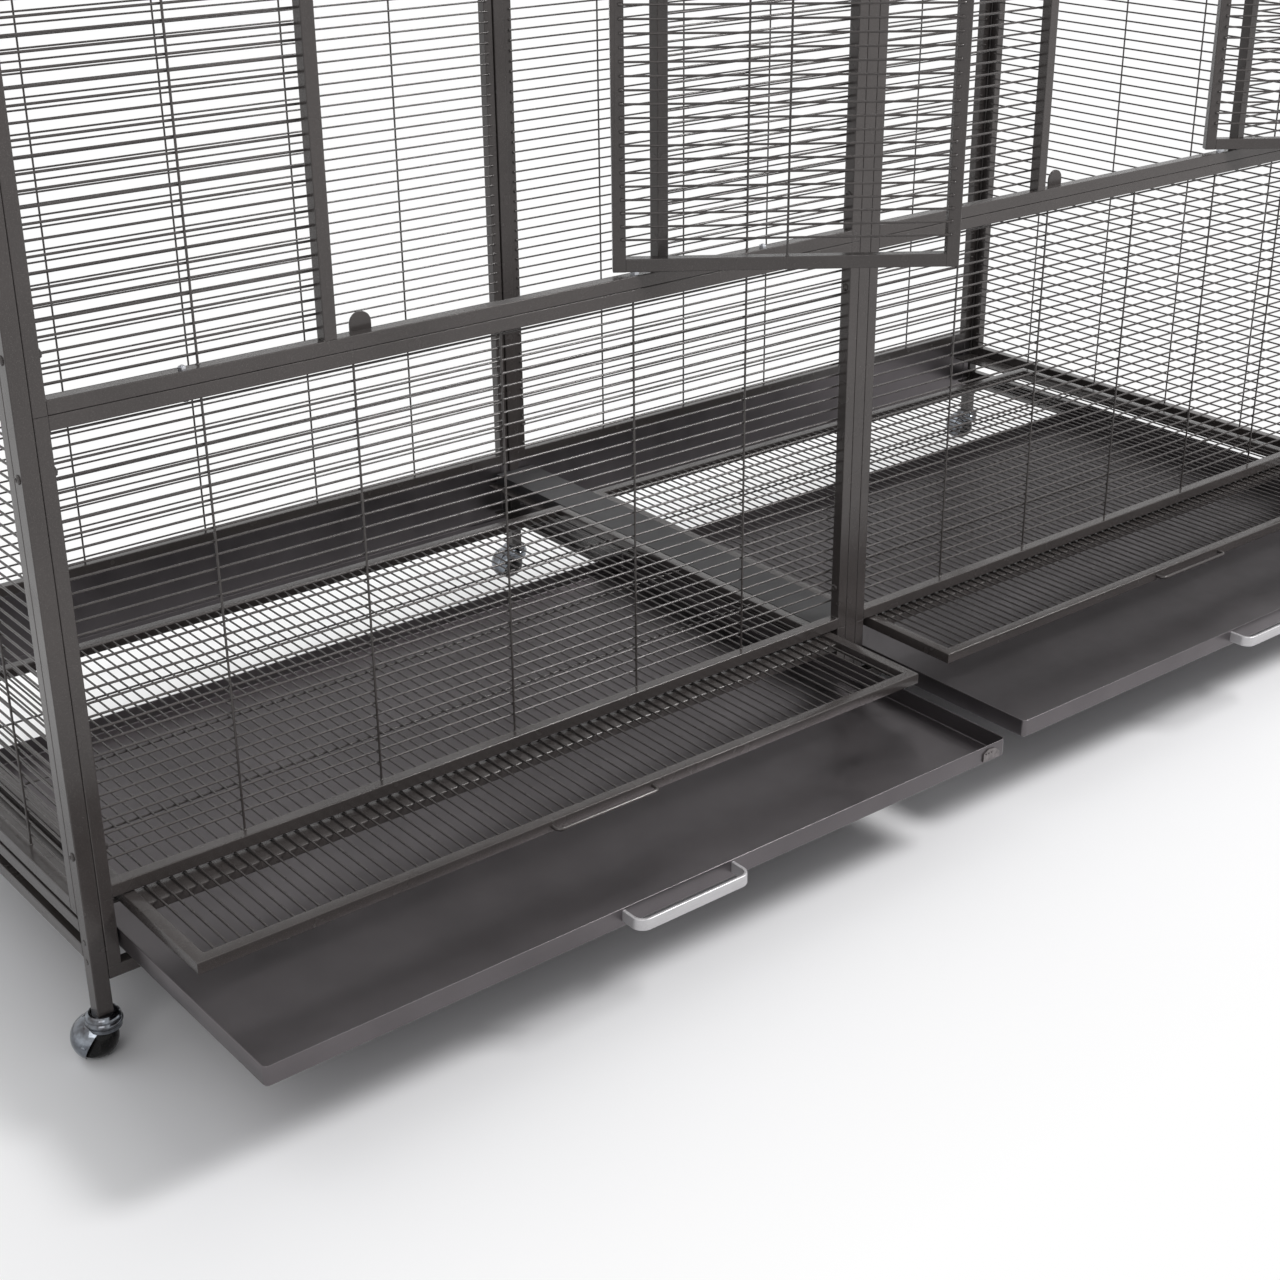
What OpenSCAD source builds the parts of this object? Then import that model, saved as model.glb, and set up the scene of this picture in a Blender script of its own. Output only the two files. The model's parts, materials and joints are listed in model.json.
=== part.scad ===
// Double flight cage on ball casters: two wire bays, two hinged doors, two slide-out grilles and trays.
// X runs along the front, the front faces -Y, and Z = 0 is the floor under the casters.

/* [Cage] */
// Distance between post centres along one bay
bay_w = 904.5; // [820:0.5:1000]
// Distance between front and rear post centres
cage_d = 648; // [600:1:760]
// Height of the lower front panels
lower_panel_h = 437; // [380:1:520]
// Height of the upper front panels
upper_panel_h = 990; // [930:1:1100]
// Height of the slot that the grille and the tray slide through
slot_h = 66; // [62:0.5:90]
// Length of post below the base rails
leg_h = 33.5; // [20:0.5:80]
// Height of the sheet apron at the back
apron_h = 88.7; // [70:0.1:120]

/* [Tubes] */
// Side of the corner and centre posts
post = 15; // [14:0.5:20]
// Wall of the posts
post_wall = 1.2; // [0.8:0.1:2]
// Side of the panel tubes
tube = 12.5; // [11.5:0.5:14]
// Wall of the panel tubes
tube_wall = 1; // [0.8:0.1:1.5]
// Corner radius of every square tube
tube_corner = 0.8; // [0.4:0.1:0.9]
// Gap between neighbouring frames
panel_gap = 0.3; // [0.2:0.1:0.6]

/* [Wires] */
// Diameter of the wires
wire_d = 2.2; // [1.8:0.1:2.4]
// Distance between the horizontal wires
wire_pitch = 12.5; // [11:0.5:16]
// Least distance from a rail to the first wire
wire_margin = 6.4; // [5:0.1:9]
// How deep the horizontal wires sink into the inner faces of the stiles
wire_sink = 0.3; // [0.1:0.1:0.5]
// Length of wire welded onto each stile
wire_lap = 4; // [2:0.5:8]
// Clear gap between the horizontal wires and the upright braces
brace_gap = 0.05; // [0.02:0.01:0.2]
// Distance from the middle of a bay to its inner braces
brace_inner = 154; // [120:1:180]
// Distance from the middle of a bay to its outer braces
brace_outer = 298; // [240:1:360]
// Distance from a stile to the first brace of a side panel
side_brace_edge = 104; // [80:1:140]
// Upright braces on a side panel
side_braces = 4; // [3:1:6]

/* [Doors] */
// Width of the door
door_w = 330; // [300:1:340]
// Height of the door
door_h = 700; // [620:1:760]
// Distance from a post centre to the near edge of the door opening
opening_x = 278.5; // [250:0.5:300]
// Width of the door opening
opening_w = 350; // [345:0.5:370]
// Gap between the hinge edge of the door and its jamb
door_gap = 4; // [3:0.5:6]
// Gap above and below the door
door_clear = 3.6; // [3:0.1:6]
// Distance from the hinge edge of the door to its pin
hinge_inset = 20.5; // [19:0.5:24]
// How far the door stands out from its panel
door_proud = 0.4; // [0.3:0.1:1]
// Diameter of the hinge pins
pin_d = 4; // [3:0.1:5]
// Radial play of the hinge pins and the latch shaft
pin_play = 0.05; // [0.03:0.01:0.1]
// Angle that the doors stand open at rest
door_rest_angle = 145; // [0:1:149]
// Width of the stop tab
tab_w = 21; // [15:1:30]
// Height of the stop tab above its rail
tab_h = 16; // [10:0.5:24]
// Distance from the door opening to the stop tab
tab_x = 20; // [18:0.5:60]

/* [Grilles] */
// Side of the grille frame bars
grille_bar = 12; // [11:0.5:12.5]
// Gap between a grille and its bay at each side
grille_side_gap = 9.3; // [8:0.1:10]
// Front to back length of the grille
grille_d = 640; // [560:1:644]
// How far the left grille is pulled out at rest
grille_out_left = 134.5; // [0:0.5:350]
// How far the right grille is pulled out at rest
grille_out_right = 122.5; // [0:0.5:350]
// Distance between the cross wires of a grille
cross_pitch = 144.7; // [120:0.1:155]
// Distance from the front of a grille to its first cross wire
cross_first = 84; // [60:1:100]
// Width of the wire handle
grip_w = 120; // [80:1:160]
// Reach of the wire handle in front of the bar
grip_reach = 10; // [8:0.5:20]

/* [Trays] */
// Height of the tray walls
tray_h = 20; // [18:0.5:26]
// Thickness of the tray sheet
tray_wall = 1.2; // [0.8:0.1:2]
// Gap between a tray and the stile beside it
tray_side_gap = 1.2; // [0.8:0.1:2]
// Front to back length of the tray
tray_d = 640; // [560:1:644]
// Outer radius of the upright tray corners
tray_corner = 10; // [6:0.5:20]
// How far the left tray is pulled out at rest
tray_out_left = 254; // [0:0.5:350]
// How far the right tray is pulled out at rest
tray_out_right = 242; // [0:0.5:350]
// Width of the strap handle
strap_w = 132; // [90:1:180]
// Reach of the strap handle
strap_reach = 26; // [20:0.5:40]
// Height of the strap
strap_h = 12; // [8:0.5:16]
// Thickness of the strap
strap_t = 3.5; // [2:0.1:5]
// Bend radius of the strap
strap_bend = 12; // [8:0.5:16]

/* [Casters] */
// Radius of the ball wheel
ball_r = 20.3; // [18:0.1:24]
// Gap between the ball and its hood
hood_gap = 0.6; // [0.4:0.1:1]
// Thickness of the hood
hood_wall = 1.3; // [1:0.1:2]
// Distance from the swivel axis to the ball centre
trail = 10.2; // [8:0.1:14]
// Direction in which the casters trail
trail_angle = 125; // [95:1:160]
// Radius of the swivel ring
ring_r = 17; // [16:0.1:20]
// Diameter of the axle
axle_d = 5; // [4:0.1:6]

/* [Hidden] */

// Finish colours
coat = [0.30, 0.29, 0.29];
sheet_coat = [0.20, 0.20, 0.21];
zinc = [0.75, 0.76, 0.78];
aluminium = [0.86, 0.86, 0.86];
rubber = [0.06, 0.06, 0.06];

// Facets of round parts
wire_facets = 36;
round_facets = 48;
corner_steps = 2;
rim_steps = 5;

// Running gap between pieces that slide or turn past each other
run_gap = 0.3;
seam = panel_gap;

// How far cutting bodies reach past what they cut
cut = 1;

// Caster stack
cap_rise = 5.6;
hood_in = ball_r + hood_gap;
hood_out = hood_in + hood_wall;
ring_top = ball_r + hood_out + 0.1;
cap_bottom = ring_top + run_gap;
caster_h = cap_bottom + cap_rise;

// Heights above the floor
base_z = caster_h + leg_h;
slot_z = base_z + tube;
lower_z = slot_z + slot_h;
seam_z = lower_z + lower_panel_h;
upper_z = seam_z + seam;
sill_top = upper_z + tube;
door_z = sill_top + door_clear;
header_z = door_z + door_h + door_clear;
upper_top = upper_z + upper_panel_h;
roof_top = upper_top + seam + tube;

// Side frames reach lower than the front panels, and carry two base rails below them
side_drop = 13.6;
side_z = lower_z - side_drop;
side_slot = 5.5;
base_rail_pitch = 25;
base_rail_top_z = side_z - side_slot - tube;
base_rail_low_z = base_rail_top_z - base_rail_pitch;
rear_z = base_z + apron_h;

// Panels between the posts
panel_x = post + panel_gap;
panel_w = bay_w - post - 2 * panel_gap;
field_w = panel_w - 2 * tube;
side_w = cage_d - post - 2 * panel_gap;
side_field = side_w - 2 * tube;
cage_w = 2 * bay_w + post;
cage_depth = cage_d + post;
wire_depth = tube + wire_d / 2 - wire_sink;
brace_depth = wire_depth - wire_d - brace_gap;
brace_xs = [for (offset = [-brace_outer, -brace_inner, 0, brace_inner, brace_outer]) panel_w / 2 + offset];
side_brace_step = (side_field - 2 * side_brace_edge) / (side_braces - 1);
side_brace_xs = [for (n = [0 : side_braces - 1]) tube + side_brace_edge + n * side_brace_step];

// Door opening, from the outer face of a bay's left post
open_left = post / 2 + opening_x;
open_right = open_left + opening_w;
hinge_x = open_right - door_gap - hinge_inset;
hinge_y = tube / 2 - door_proud;
door_left_x = open_right - door_gap - door_w;
hinge_block = 12;
hinge_bite = 7;
collar_d = 9;
collar_gap = run_gap;

// Door latch
latch_z = door_z + door_h / 2;
latch_shaft_d = 6;
latch_knob_d = 16;
latch_knob_h = 5;
latch_lever_l = 40;
latch_tongue_l = 30;
latch_plate_w = 10;
latch_plate_t = 2;

// Sliding parts
ledge_t = 2;
grille_w = field_w - 2 * grille_side_gap;
grille_z = side_z + run_gap;
grille_wire_drop = 2;
drain_d = 4;
drain_inset = 40;
grille_side_x = panel_x + tube + grille_side_gap;
grip_d = 4;
grip_side_shift = -2;
tray_w = field_w - 2 * tray_side_gap;
tray_side_x = panel_x + tube + tray_side_gap;
tray_ledge_rise = 1.3;
tray_ledge_z = base_rail_low_z + tray_ledge_rise;
tray_z = tray_ledge_z + ledge_t + run_gap;
ledge_reach = 13;
strap_shift = -8;
strap_drop = 2;
clip_w = 24;
clip_h = 13;
clip_t = 1.5;
clip_stud_d = 1.8;
clip_arch = 0.3;

// Bolts
bolt_d = 5;
bolt_play = 0.15;
bolt_head_d = 8.5;
bolt_head_h = 2.5;
nut_d = 9;
nut_h = 3.2;
bolt_inset = 48;
seam_bolt_x = 130;
base_bolt_low = 8;
base_bolt_high = 28;

// Origin: middle of the bounding box in X and Y
post_mid = post / 2;
reach_left = post_mid + trail * cos(trail_angle) - hood_out;
reach_right = cage_w - post_mid + ring_r;
reach_front = -max(tray_out_left, tray_out_right) - strap_reach;
reach_rear = cage_depth - post_mid + trail * sin(trail_angle) + hood_out;
origin_x = (reach_left + reach_right) / 2;
origin_y = (reach_front + reach_rear) / 2;

// Moves the cage from its front left corner to the shared origin
module placed() {
    translate([-origin_x, -origin_y, 0]) children();
}

// Square outline centred on the origin, its corners rounded by short arcs
function corner_sign(q) = [[1, 1], [-1, 1], [-1, -1], [1, -1]][q];
function rounded_square(side, radius, steps) = [
    for (q = [0 : 3])
        for (s = [0 : steps])
            let (turn = 90 * (q + s / steps))
                (side / 2 - radius) * corner_sign(q) + radius * [cos(turn), sin(turn)]
];

module tube_outline(side, wall) {
    translate([side / 2, side / 2])
        difference() {
            polygon(rounded_square(side, tube_corner, corner_steps));
            square(side - 2 * wall, center = true);
        }
}

module tube_z(length, side = tube, wall = tube_wall) {
    linear_extrude(height = length) tube_outline(side, wall);
}

module tube_x(length, side = tube, wall = tube_wall) {
    rotate([90, 0, 90]) linear_extrude(height = length) tube_outline(side, wall);
}

module tube_y(length, side = tube, wall = tube_wall) {
    translate([0, length, 0]) rotate([90, 0, 0]) linear_extrude(height = length) tube_outline(side, wall);
}

module wire_x(length) {
    rotate([0, 90, 0]) cylinder(h = length, d = wire_d, $fn = wire_facets);
}

module wire_z(length) {
    cylinder(h = length, d = wire_d, $fn = wire_facets);
}

// Panels are drawn with their outer face on Y = 0 and the inside of the cage towards +Y
function wire_count(height) = 1 + floor((height - 2 * wire_margin) / wire_pitch);
function wire_heights(z0, z1) = [for (n = [0 : wire_count(z1 - z0) - 1]) z1 - wire_margin - n * wire_pitch];

// Horizontal wires lie on the inner faces of the stiles, and the upright braces stand outside them
module across_wires(x0, x1, heights, left_lap = wire_lap, right_lap = wire_lap) {
    for (z = heights)
        translate([x0 - left_lap, wire_depth, z]) wire_x(x1 - x0 + left_lap + right_lap);
}

module braces(xs, z0, z1) {
    for (x = xs)
        translate([x, brace_depth, z0]) wire_z(z1 - z0);
}

module panel_frame(width, height) {
    tube_z(height);
    translate([width - tube, 0, 0]) tube_z(height);
    for (z = [0, height - tube])
        translate([tube, 0, z]) tube_x(width - 2 * tube);
}

module wire_panel(width, height, xs) {
    panel_frame(width, height);
    across_wires(tube, width - tube, wire_heights(tube, height - tube));
    braces(xs, tube, height - tube);
}

// Bolts run along X through a post and the stiles beside it
tall_panel = 600;
function bolt_heights(z0, z1) = z1 - z0 > tall_panel
    ? [z0 + bolt_inset, (z0 + z1) / 2, z1 - bolt_inset]
    : [z0 + bolt_inset, z1 - bolt_inset];
lower_bolts = bolt_heights(lower_z, seam_z);
upper_bolts = bolt_heights(upper_z, upper_top);
rear_bolts = bolt_heights(rear_z, upper_top);
base_bolts = [slot_z + base_bolt_low, slot_z + base_bolt_high];
front_bolts = concat(base_bolts, lower_bolts, upper_bolts);
seam_bolts = [panel_x + seam_bolt_x, panel_x + panel_w - seam_bolt_x];

module bolt_hole_x(y, z, x0, x1) {
    translate([x0, y, z])
        rotate([0, 90, 0]) cylinder(h = x1 - x0, d = bolt_d + 2 * bolt_play, $fn = round_facets);
}

module bolt_hole_z(x, z0, z1) {
    translate([x, tube / 2, z0]) cylinder(h = z1 - z0, d = bolt_d + 2 * bolt_play, $fn = round_facets);
}

// Holes through every post and stile of one side of the cage, from one end to the other
module long_bolt_holes(y, heights) {
    for (z = heights)
        for (p = [0 : 2])
            bolt_hole_x(y, z, p * bay_w - post - tube - cut, p * bay_w + 2 * post + tube + cut);
}

module post_tube(column, row) {
    heights = row == 0 ? front_bolts : rear_bolts;
    color(coat)
        placed()
            difference() {
                translate([column * bay_w, row * cage_d, caster_h])
                    tube_z(upper_top - caster_h, post, post_wall);
                long_bolt_holes(row * cage_d + post_mid, heights);
            }
}

// Lower front panels, each a welded frame of tubes and wires
module lower_panel(bay) {
    color(coat)
        placed()
            difference() {
                translate([bay * bay_w + panel_x, 0, lower_z])
                    wire_panel(panel_w, lower_panel_h, brace_xs);
                long_bolt_holes(post_mid, lower_bolts);
                for (x = seam_bolts)
                    bolt_hole_z(bay * bay_w + x, seam_z - tube - cut, seam_z + cut);
            }
}

// Upper front panels stand on the sill rails, on both sides of the door opening
jamb_left = open_left - tube;
header_w = opening_w + 2 * tube;

upper_heights = wire_heights(sill_top, upper_top - tube);
door_heights = [for (z = upper_heights) if (z < header_z) z];
header_heights = [for (z = upper_heights) if (z >= header_z) z];

function braces_between(x0, x1) = [
    for (x = brace_xs)
        if (panel_x + x > x0 + wire_d && panel_x + x < x1 - wire_d) panel_x + x
];

module latch_side_panel(bay) {
    color(coat)
        placed()
            difference() {
                translate([bay * bay_w, 0, 0]) {
                    translate([panel_x, 0, upper_z]) tube_z(upper_panel_h);
                    translate([jamb_left, 0, sill_top]) tube_z(header_z - sill_top);
                    translate([panel_x + tube, 0, upper_top - tube]) tube_x(jamb_left - panel_x - tube);
                    across_wires(panel_x + tube, jamb_left, door_heights);
                    across_wires(panel_x + tube, jamb_left, header_heights, right_lap = 0);
                    braces(braces_between(panel_x + tube, jamb_left), sill_top, upper_top - tube);
                }
                long_bolt_holes(post_mid, upper_bolts);
            }
}

module hinge_side_panel(bay) {
    stile_x = panel_x + panel_w - tube;
    rail_x = open_right + tube;
    color(coat)
        placed()
            difference() {
                translate([bay * bay_w, 0, 0]) {
                    translate([stile_x, 0, upper_z]) tube_z(upper_panel_h);
                    translate([open_right, 0, sill_top]) tube_z(header_z - sill_top);
                    translate([rail_x, 0, upper_top - tube]) tube_x(stile_x - rail_x);
                    across_wires(rail_x, stile_x, door_heights);
                    across_wires(rail_x, stile_x, header_heights, left_lap = 0);
                    braces(braces_between(rail_x, stile_x), sill_top, upper_top - tube);
                }
                long_bolt_holes(post_mid, upper_bolts);
            }
}

module door_header(bay) {
    xs = [for (x = braces_between(open_left, open_right)) x - jamb_left];
    color(coat)
        placed()
            translate([bay * bay_w + jamb_left, 0, header_z]) wire_panel(header_w, upper_top - header_z, xs);
}

module sill_rails() {
    color(coat)
        placed()
            for (bay = [0, 1])
                difference() {
                    translate([bay * bay_w + panel_x + tube, 0, upper_z]) tube_x(field_w);
                    for (x = seam_bolts)
                        bolt_hole_z(bay * bay_w + x, upper_z - cut, sill_top + cut);
                }
}

// Base frame under the slots
module base_front_rails() {
    color(coat)
        placed()
            for (bay = [0, 1])
                translate([bay * bay_w + panel_x, 0, base_z]) tube_x(panel_w);
}

module base_front_stiles() {
    color(coat)
        placed()
            difference() {
                for (bay = [0, 1])
                    for (x = [0, panel_w - tube])
                        translate([bay * bay_w + panel_x + x, 0, slot_z]) tube_z(slot_h);
                long_bolt_holes(post_mid, base_bolts);
            }
}

// Back of the cage, mirrored so that the braces stay inside
module at_back() {
    translate([0, cage_depth, 0]) mirror([0, 1, 0]) children();
}

module rear_panel(bay) {
    color(coat)
        placed()
            difference() {
                translate([bay * bay_w + panel_x, 0, rear_z])
                    at_back() wire_panel(panel_w, upper_top - rear_z, brace_xs);
                long_bolt_holes(cage_d + post_mid, rear_bolts);
            }
}

module rear_apron(bay) {
    stub_h = apron_h - tube - seam;
    sheet_depth = tube - 1;
    color(sheet_coat)
        placed()
            translate([bay * bay_w + panel_x, 0, base_z])
                at_back() {
                    tube_x(panel_w);
                    for (x = [0, panel_w - tube])
                        translate([x, 0, tube]) tube_z(stub_h);
                    translate([tube, sheet_depth - tray_wall, tube]) cube([field_w, tray_wall, stub_h]);
                }
}

// Ends of the cage
module at_left_end() {
    translate([0, post + panel_gap, 0]) mirror([1, 0, 0]) rotate([0, 0, 90]) children();
}

module at_right_end() {
    translate([cage_w, post + panel_gap, 0]) rotate([0, 0, 90]) children();
}

module side_panel() {
    translate([0, 0, side_z]) wire_panel(side_w, upper_top - side_z, side_brace_xs);
}

module side_base() {
    for (z = [base_rail_top_z, base_rail_low_z])
        translate([0, 0, z]) tube_x(side_w);
}

module side_panel_left() {
    color(coat) placed() at_left_end() side_panel();
}

module side_panel_right() {
    color(coat) placed() at_right_end() side_panel();
}

module side_base_left() {
    color(coat) placed() at_left_end() side_base();
}

module side_base_right() {
    color(coat) placed() at_right_end() side_base();
}

// Roof panels lie on the posts and the upright panels, and meet over the centre posts. Their wires run
// inside the frame, so that it lies flat.
module roof_panel(bay) {
    roof_w = (cage_w - seam) / 2;
    roof_xs = [for (x = brace_xs) bay == 0 ? panel_x + x : roof_w - panel_x - x];
    color(coat)
        placed()
            translate([bay * (roof_w + seam), 0, roof_top])
                rotate([-90, 0, 0]) {
                    panel_frame(roof_w, cage_depth);
                    translate([0, -wire_d, 0]) {
                        across_wires(tube, roof_w - tube, wire_heights(tube, cage_depth - tube), 0, 0);
                        braces(roof_xs, tube, cage_depth - tube);
                    }
                }
}

// Beam between the two grilles, and the rail between the two trays
inner_y = post + panel_gap;
run_l = cage_d - post - 2 * panel_gap;
middle_x = bay_w + post_mid;
beam_half = bay_w - post_mid - (grille_side_x + grille_w) + post - run_gap;

module centre_beam() {
    color(coat)
        placed()
            translate([middle_x - beam_half, inner_y, side_z])
                rotate([-90, 0, 0])
                    translate([0, -tube])
                        linear_extrude(height = run_l)
                            difference() {
                                square([2 * beam_half, tube]);
                                translate([tube_wall, tube_wall])
                                    square([2 * (beam_half - tube_wall), tube - 2 * tube_wall]);
                            }
}

module centre_tray_rail() {
    half = middle_x - (tray_side_x + tray_w) + ledge_reach;
    color(coat)
        placed() {
            translate([middle_x - half, inner_y, tray_ledge_z]) cube([2 * half, run_l, ledge_t]);
            translate([middle_x - tube / 2, inner_y, tray_ledge_z - tube]) tube_y(run_l);
        }
}

// Flat ledges that the grilles and the trays slide on
module slide_ledges() {
    grille_ledge_z = side_z - ledge_t;
    grille_reach = grille_side_x + ledge_reach;
    tray_reach = tray_side_x + ledge_reach;
    color(coat)
        placed() {
            for (right = [0, 1])
                translate([right * cage_w, 0, 0])
                    mirror([right, 0, 0]) {
                        translate([tube_corner, inner_y, grille_ledge_z])
                            cube([grille_reach - tube_corner, run_l, ledge_t]);
                        translate([tube, inner_y, tray_ledge_z]) cube([tray_reach - tube, run_l, ledge_t]);
                    }
            translate([middle_x - beam_half - ledge_reach, inner_y, grille_ledge_z])
                cube([2 * (beam_half + ledge_reach), run_l, ledge_t]);
        }
}

// Tabs behind the sill that the doors close against
module stop_tabs() {
    tab_t = 2;
    root_h = tube - 2 * tube_corner;
    color(coat)
        placed()
            for (bay = [0, 1])
                translate([bay * bay_w + open_left + tab_x, tube + tab_t, sill_top - root_h - tube_corner])
                    rotate([90, 0, 0])
                        linear_extrude(height = tab_t)
                            union() {
                                square([tab_w, root_h + tube_corner + tab_h - tab_w / 2]);
                                translate([tab_w / 2, root_h + tube_corner + tab_h - tab_w / 2])
                                    circle(d = tab_w, $fn = round_facets);
                            }
}

// A bolt along +X: its domed head before X = 0, its nut just past the given grip
module bolt_x(grip) {
    rotate([0, 90, 0]) {
        translate([0, 0, -bolt_head_h]) cylinder(h = bolt_head_h, d = bolt_head_d, $fn = round_facets);
        cylinder(h = grip, d = bolt_d, $fn = round_facets);
        translate([0, 0, grip]) cylinder(h = nut_h, d = nut_d, $fn = 6);
    }
}

module rivet_x(grip) {
    rotate([0, 90, 0]) cylinder(h = grip, d = bolt_d, $fn = round_facets);
}

module bolt_z(grip) {
    translate([0, 0, -nut_h]) cylinder(h = nut_h, d = nut_d, $fn = 6);
    cylinder(h = grip, d = bolt_d, $fn = round_facets);
    translate([0, 0, grip]) cylinder(h = bolt_head_h, d = bolt_head_d, $fn = round_facets);
}

module panel_bolts() {
    outer_grip = panel_x + tube;
    centre_grip = post + 2 * (panel_gap + tube);
    color(zinc)
        placed() {
            for (row = [0, 1]) {
                heights = row == 0 ? concat(lower_bolts, upper_bolts) : rear_bolts;
                for (z = heights) {
                    translate([0, row * cage_d + post_mid, z]) bolt_x(outer_grip);
                    translate([bay_w - panel_gap - tube, row * cage_d + post_mid, z]) bolt_x(centre_grip);
                    translate([cage_w, row * cage_d + post_mid, z]) mirror([1, 0, 0]) bolt_x(outer_grip);
                }
            }
            for (z = base_bolts) {
                translate([0, post_mid, z]) rivet_x(outer_grip);
                translate([bay_w - panel_gap - tube, post_mid, z]) rivet_x(centre_grip);
                translate([cage_w - outer_grip, post_mid, z]) rivet_x(outer_grip);
            }
            for (bay = [0, 1])
                for (x = seam_bolts)
                    translate([bay * bay_w + x, tube / 2, seam_z - tube]) bolt_z(2 * tube + seam);
        }
}

// Hinge pins with their collars, standing on the sill and hanging from the header
module hinge_pin() {
    collar_h = door_clear - collar_gap;
    cylinder(h = collar_h, d = collar_d, $fn = 6);
    cylinder(h = door_clear + hinge_bite, d = pin_d, $fn = round_facets);
}

module door_hinges() {
    color(zinc)
        placed()
            for (bay = [0, 1])
                translate([bay * bay_w + hinge_x, hinge_y, 0]) {
                    translate([0, 0, sill_top]) hinge_pin();
                    translate([0, 0, header_z]) mirror([0, 0, 1]) hinge_pin();
                }
}

// Doors are drawn closed, then turned about their hinge pins to where they rest
module at_door(bay) {
    translate([bay * bay_w + hinge_x, hinge_y, 0])
        rotate([0, 0, door_rest_angle])
            translate([-hinge_x, -hinge_y, 0]) children();
}

module hinge_block_at(z) {
    translate([hinge_x - hinge_block / 2, tube_wall - door_proud, z + tube_wall])
        cube([hinge_block, tube - 2 * tube_wall, tube - 2 * tube_wall]);
}

module door(bay) {
    bore = pin_d + 2 * pin_play;
    color(coat)
        placed()
            at_door(bay)
                difference() {
                    union() {
                        translate([door_left_x, -door_proud, door_z]) wire_panel(door_w, door_h, [door_w / 2]);
                        hinge_block_at(door_z);
                        hinge_block_at(door_z + door_h - tube);
                    }
                    translate([hinge_x, hinge_y, door_z - cut])
                        cylinder(h = hinge_bite + 2 * cut, d = bore, $fn = round_facets);
                    translate([hinge_x, hinge_y, door_z + door_h - hinge_bite - cut])
                        cylinder(h = hinge_bite + 2 * cut, d = bore, $fn = round_facets);
                    translate([door_left_x + tube / 2, -door_proud - cut, latch_z])
                        rotate([-90, 0, 0])
                            cylinder(h = tube + 2 * cut, d = latch_shaft_d + 2 * pin_play, $fn = round_facets);
                }
}

// Turn latch: a lever outside and a tongue inside on one shaft, standing upright while the door is open
module latch_plate(length) {
    cylinder(h = latch_plate_t, d = latch_plate_w, $fn = round_facets);
    translate([-latch_plate_w / 2, 0, 0]) cube([latch_plate_w, length - latch_plate_w / 2, latch_plate_t]);
    translate([0, length - latch_plate_w / 2, 0])
        cylinder(h = latch_plate_t, d = latch_plate_w, $fn = round_facets);
}

module latch_knob() {
    cylinder(h = latch_knob_h, d1 = latch_plate_w, d2 = latch_knob_d, $fn = round_facets);
}

module door_latch(bay) {
    shaft_l = door_proud + wire_depth + wire_d / 2 + 2 * run_gap;
    color(zinc)
        placed()
            at_door(bay)
                translate([door_left_x + tube / 2, -door_proud - run_gap, latch_z])
                    rotate([90, 0, 0]) {
                        latch_plate(latch_lever_l);
                        translate([0, latch_lever_l - latch_plate_w / 2, latch_plate_t])
                            latch_knob();
                        translate([0, 0, -shaft_l])
                            cylinder(h = shaft_l, d = latch_shaft_d, $fn = round_facets);
                        translate([0, 0, -shaft_l - latch_plate_t]) latch_plate(latch_tongue_l);
                    }
}

// Grilles and their wire handles
module at_grille(bay) {
    pulled = bay == 0 ? grille_out_left : grille_out_right;
    translate([bay * bay_w + grille_side_x, -pulled, grille_z]) children();
}

// Front and rear bars run from end to end and are closed there; every bar has a drain hole underneath
module grille_frame(inner_w, inner_d) {
    half_bar = grille_bar / 2;
    plug = grille_bar - 2 * tube_wall;
    difference() {
        union() {
            for (y = [0, grille_d - grille_bar])
                translate([0, y, 0]) {
                    tube_x(grille_w, grille_bar);
                    for (x = [0, grille_w - tube_wall])
                        translate([x, tube_wall, tube_wall]) cube([tube_wall, plug, plug]);
                }
            for (x = [0, grille_w - grille_bar])
                translate([x, grille_bar, 0]) tube_y(inner_d, grille_bar);
        }
        for (y = [half_bar, grille_d - half_bar])
            translate([drain_inset, y, -cut])
                cylinder(h = tube_wall + 2 * cut, d = drain_d, $fn = round_facets);
        for (x = [half_bar, grille_w - half_bar])
            translate([x, drain_inset, -cut])
                cylinder(h = tube_wall + 2 * cut, d = drain_d, $fn = round_facets);
    }
}

module grille(bay) {
    inner_w = grille_w - 2 * grille_bar;
    inner_d = grille_d - 2 * grille_bar;
    wires = floor(inner_w / wire_pitch);
    first_x = grille_bar + (inner_w - (wires - 1) * wire_pitch) / 2;
    crossings = 1 + floor((inner_d - cross_first) / cross_pitch);
    wires_z = grille_bar - grille_wire_drop;
    color(coat)
        placed()
            at_grille(bay) {
                grille_frame(inner_w, inner_d);
                for (n = [0 : wires - 1])
                    translate([first_x + n * wire_pitch, grille_bar, wires_z])
                        rotate([-90, 0, 0]) wire_z(inner_d);
                for (n = [0 : crossings - 1])
                    translate([grille_bar, cross_first + n * cross_pitch, wires_z - wire_d - brace_gap])
                        wire_x(inner_w);
            }
}

module grille_handle(bay) {
    color(coat)
        placed()
            at_grille(bay)
                translate([grille_w / 2 + grip_side_shift, 0, grille_bar / 2]) {
                    for (side = [-1, 1])
                        translate([side * grip_w / 2, 0, 0])
                            rotate([90, 0, 0]) cylinder(h = grip_reach, d = grip_d, $fn = round_facets);
                    for (side = [-1, 1])
                        translate([side * grip_w / 2, -grip_reach, 0]) sphere(d = grip_d, $fn = round_facets);
                    translate([-grip_w / 2, -grip_reach, 0])
                        rotate([0, 90, 0]) cylinder(h = grip_w, d = grip_d, $fn = round_facets);
                }
}

// Trays are folded sheet pans with rounded upright corners
module at_tray(bay) {
    pulled = bay == 0 ? tray_out_left : tray_out_right;
    translate([bay * bay_w + tray_side_x, -pulled, tray_z]) children();
}

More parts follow.
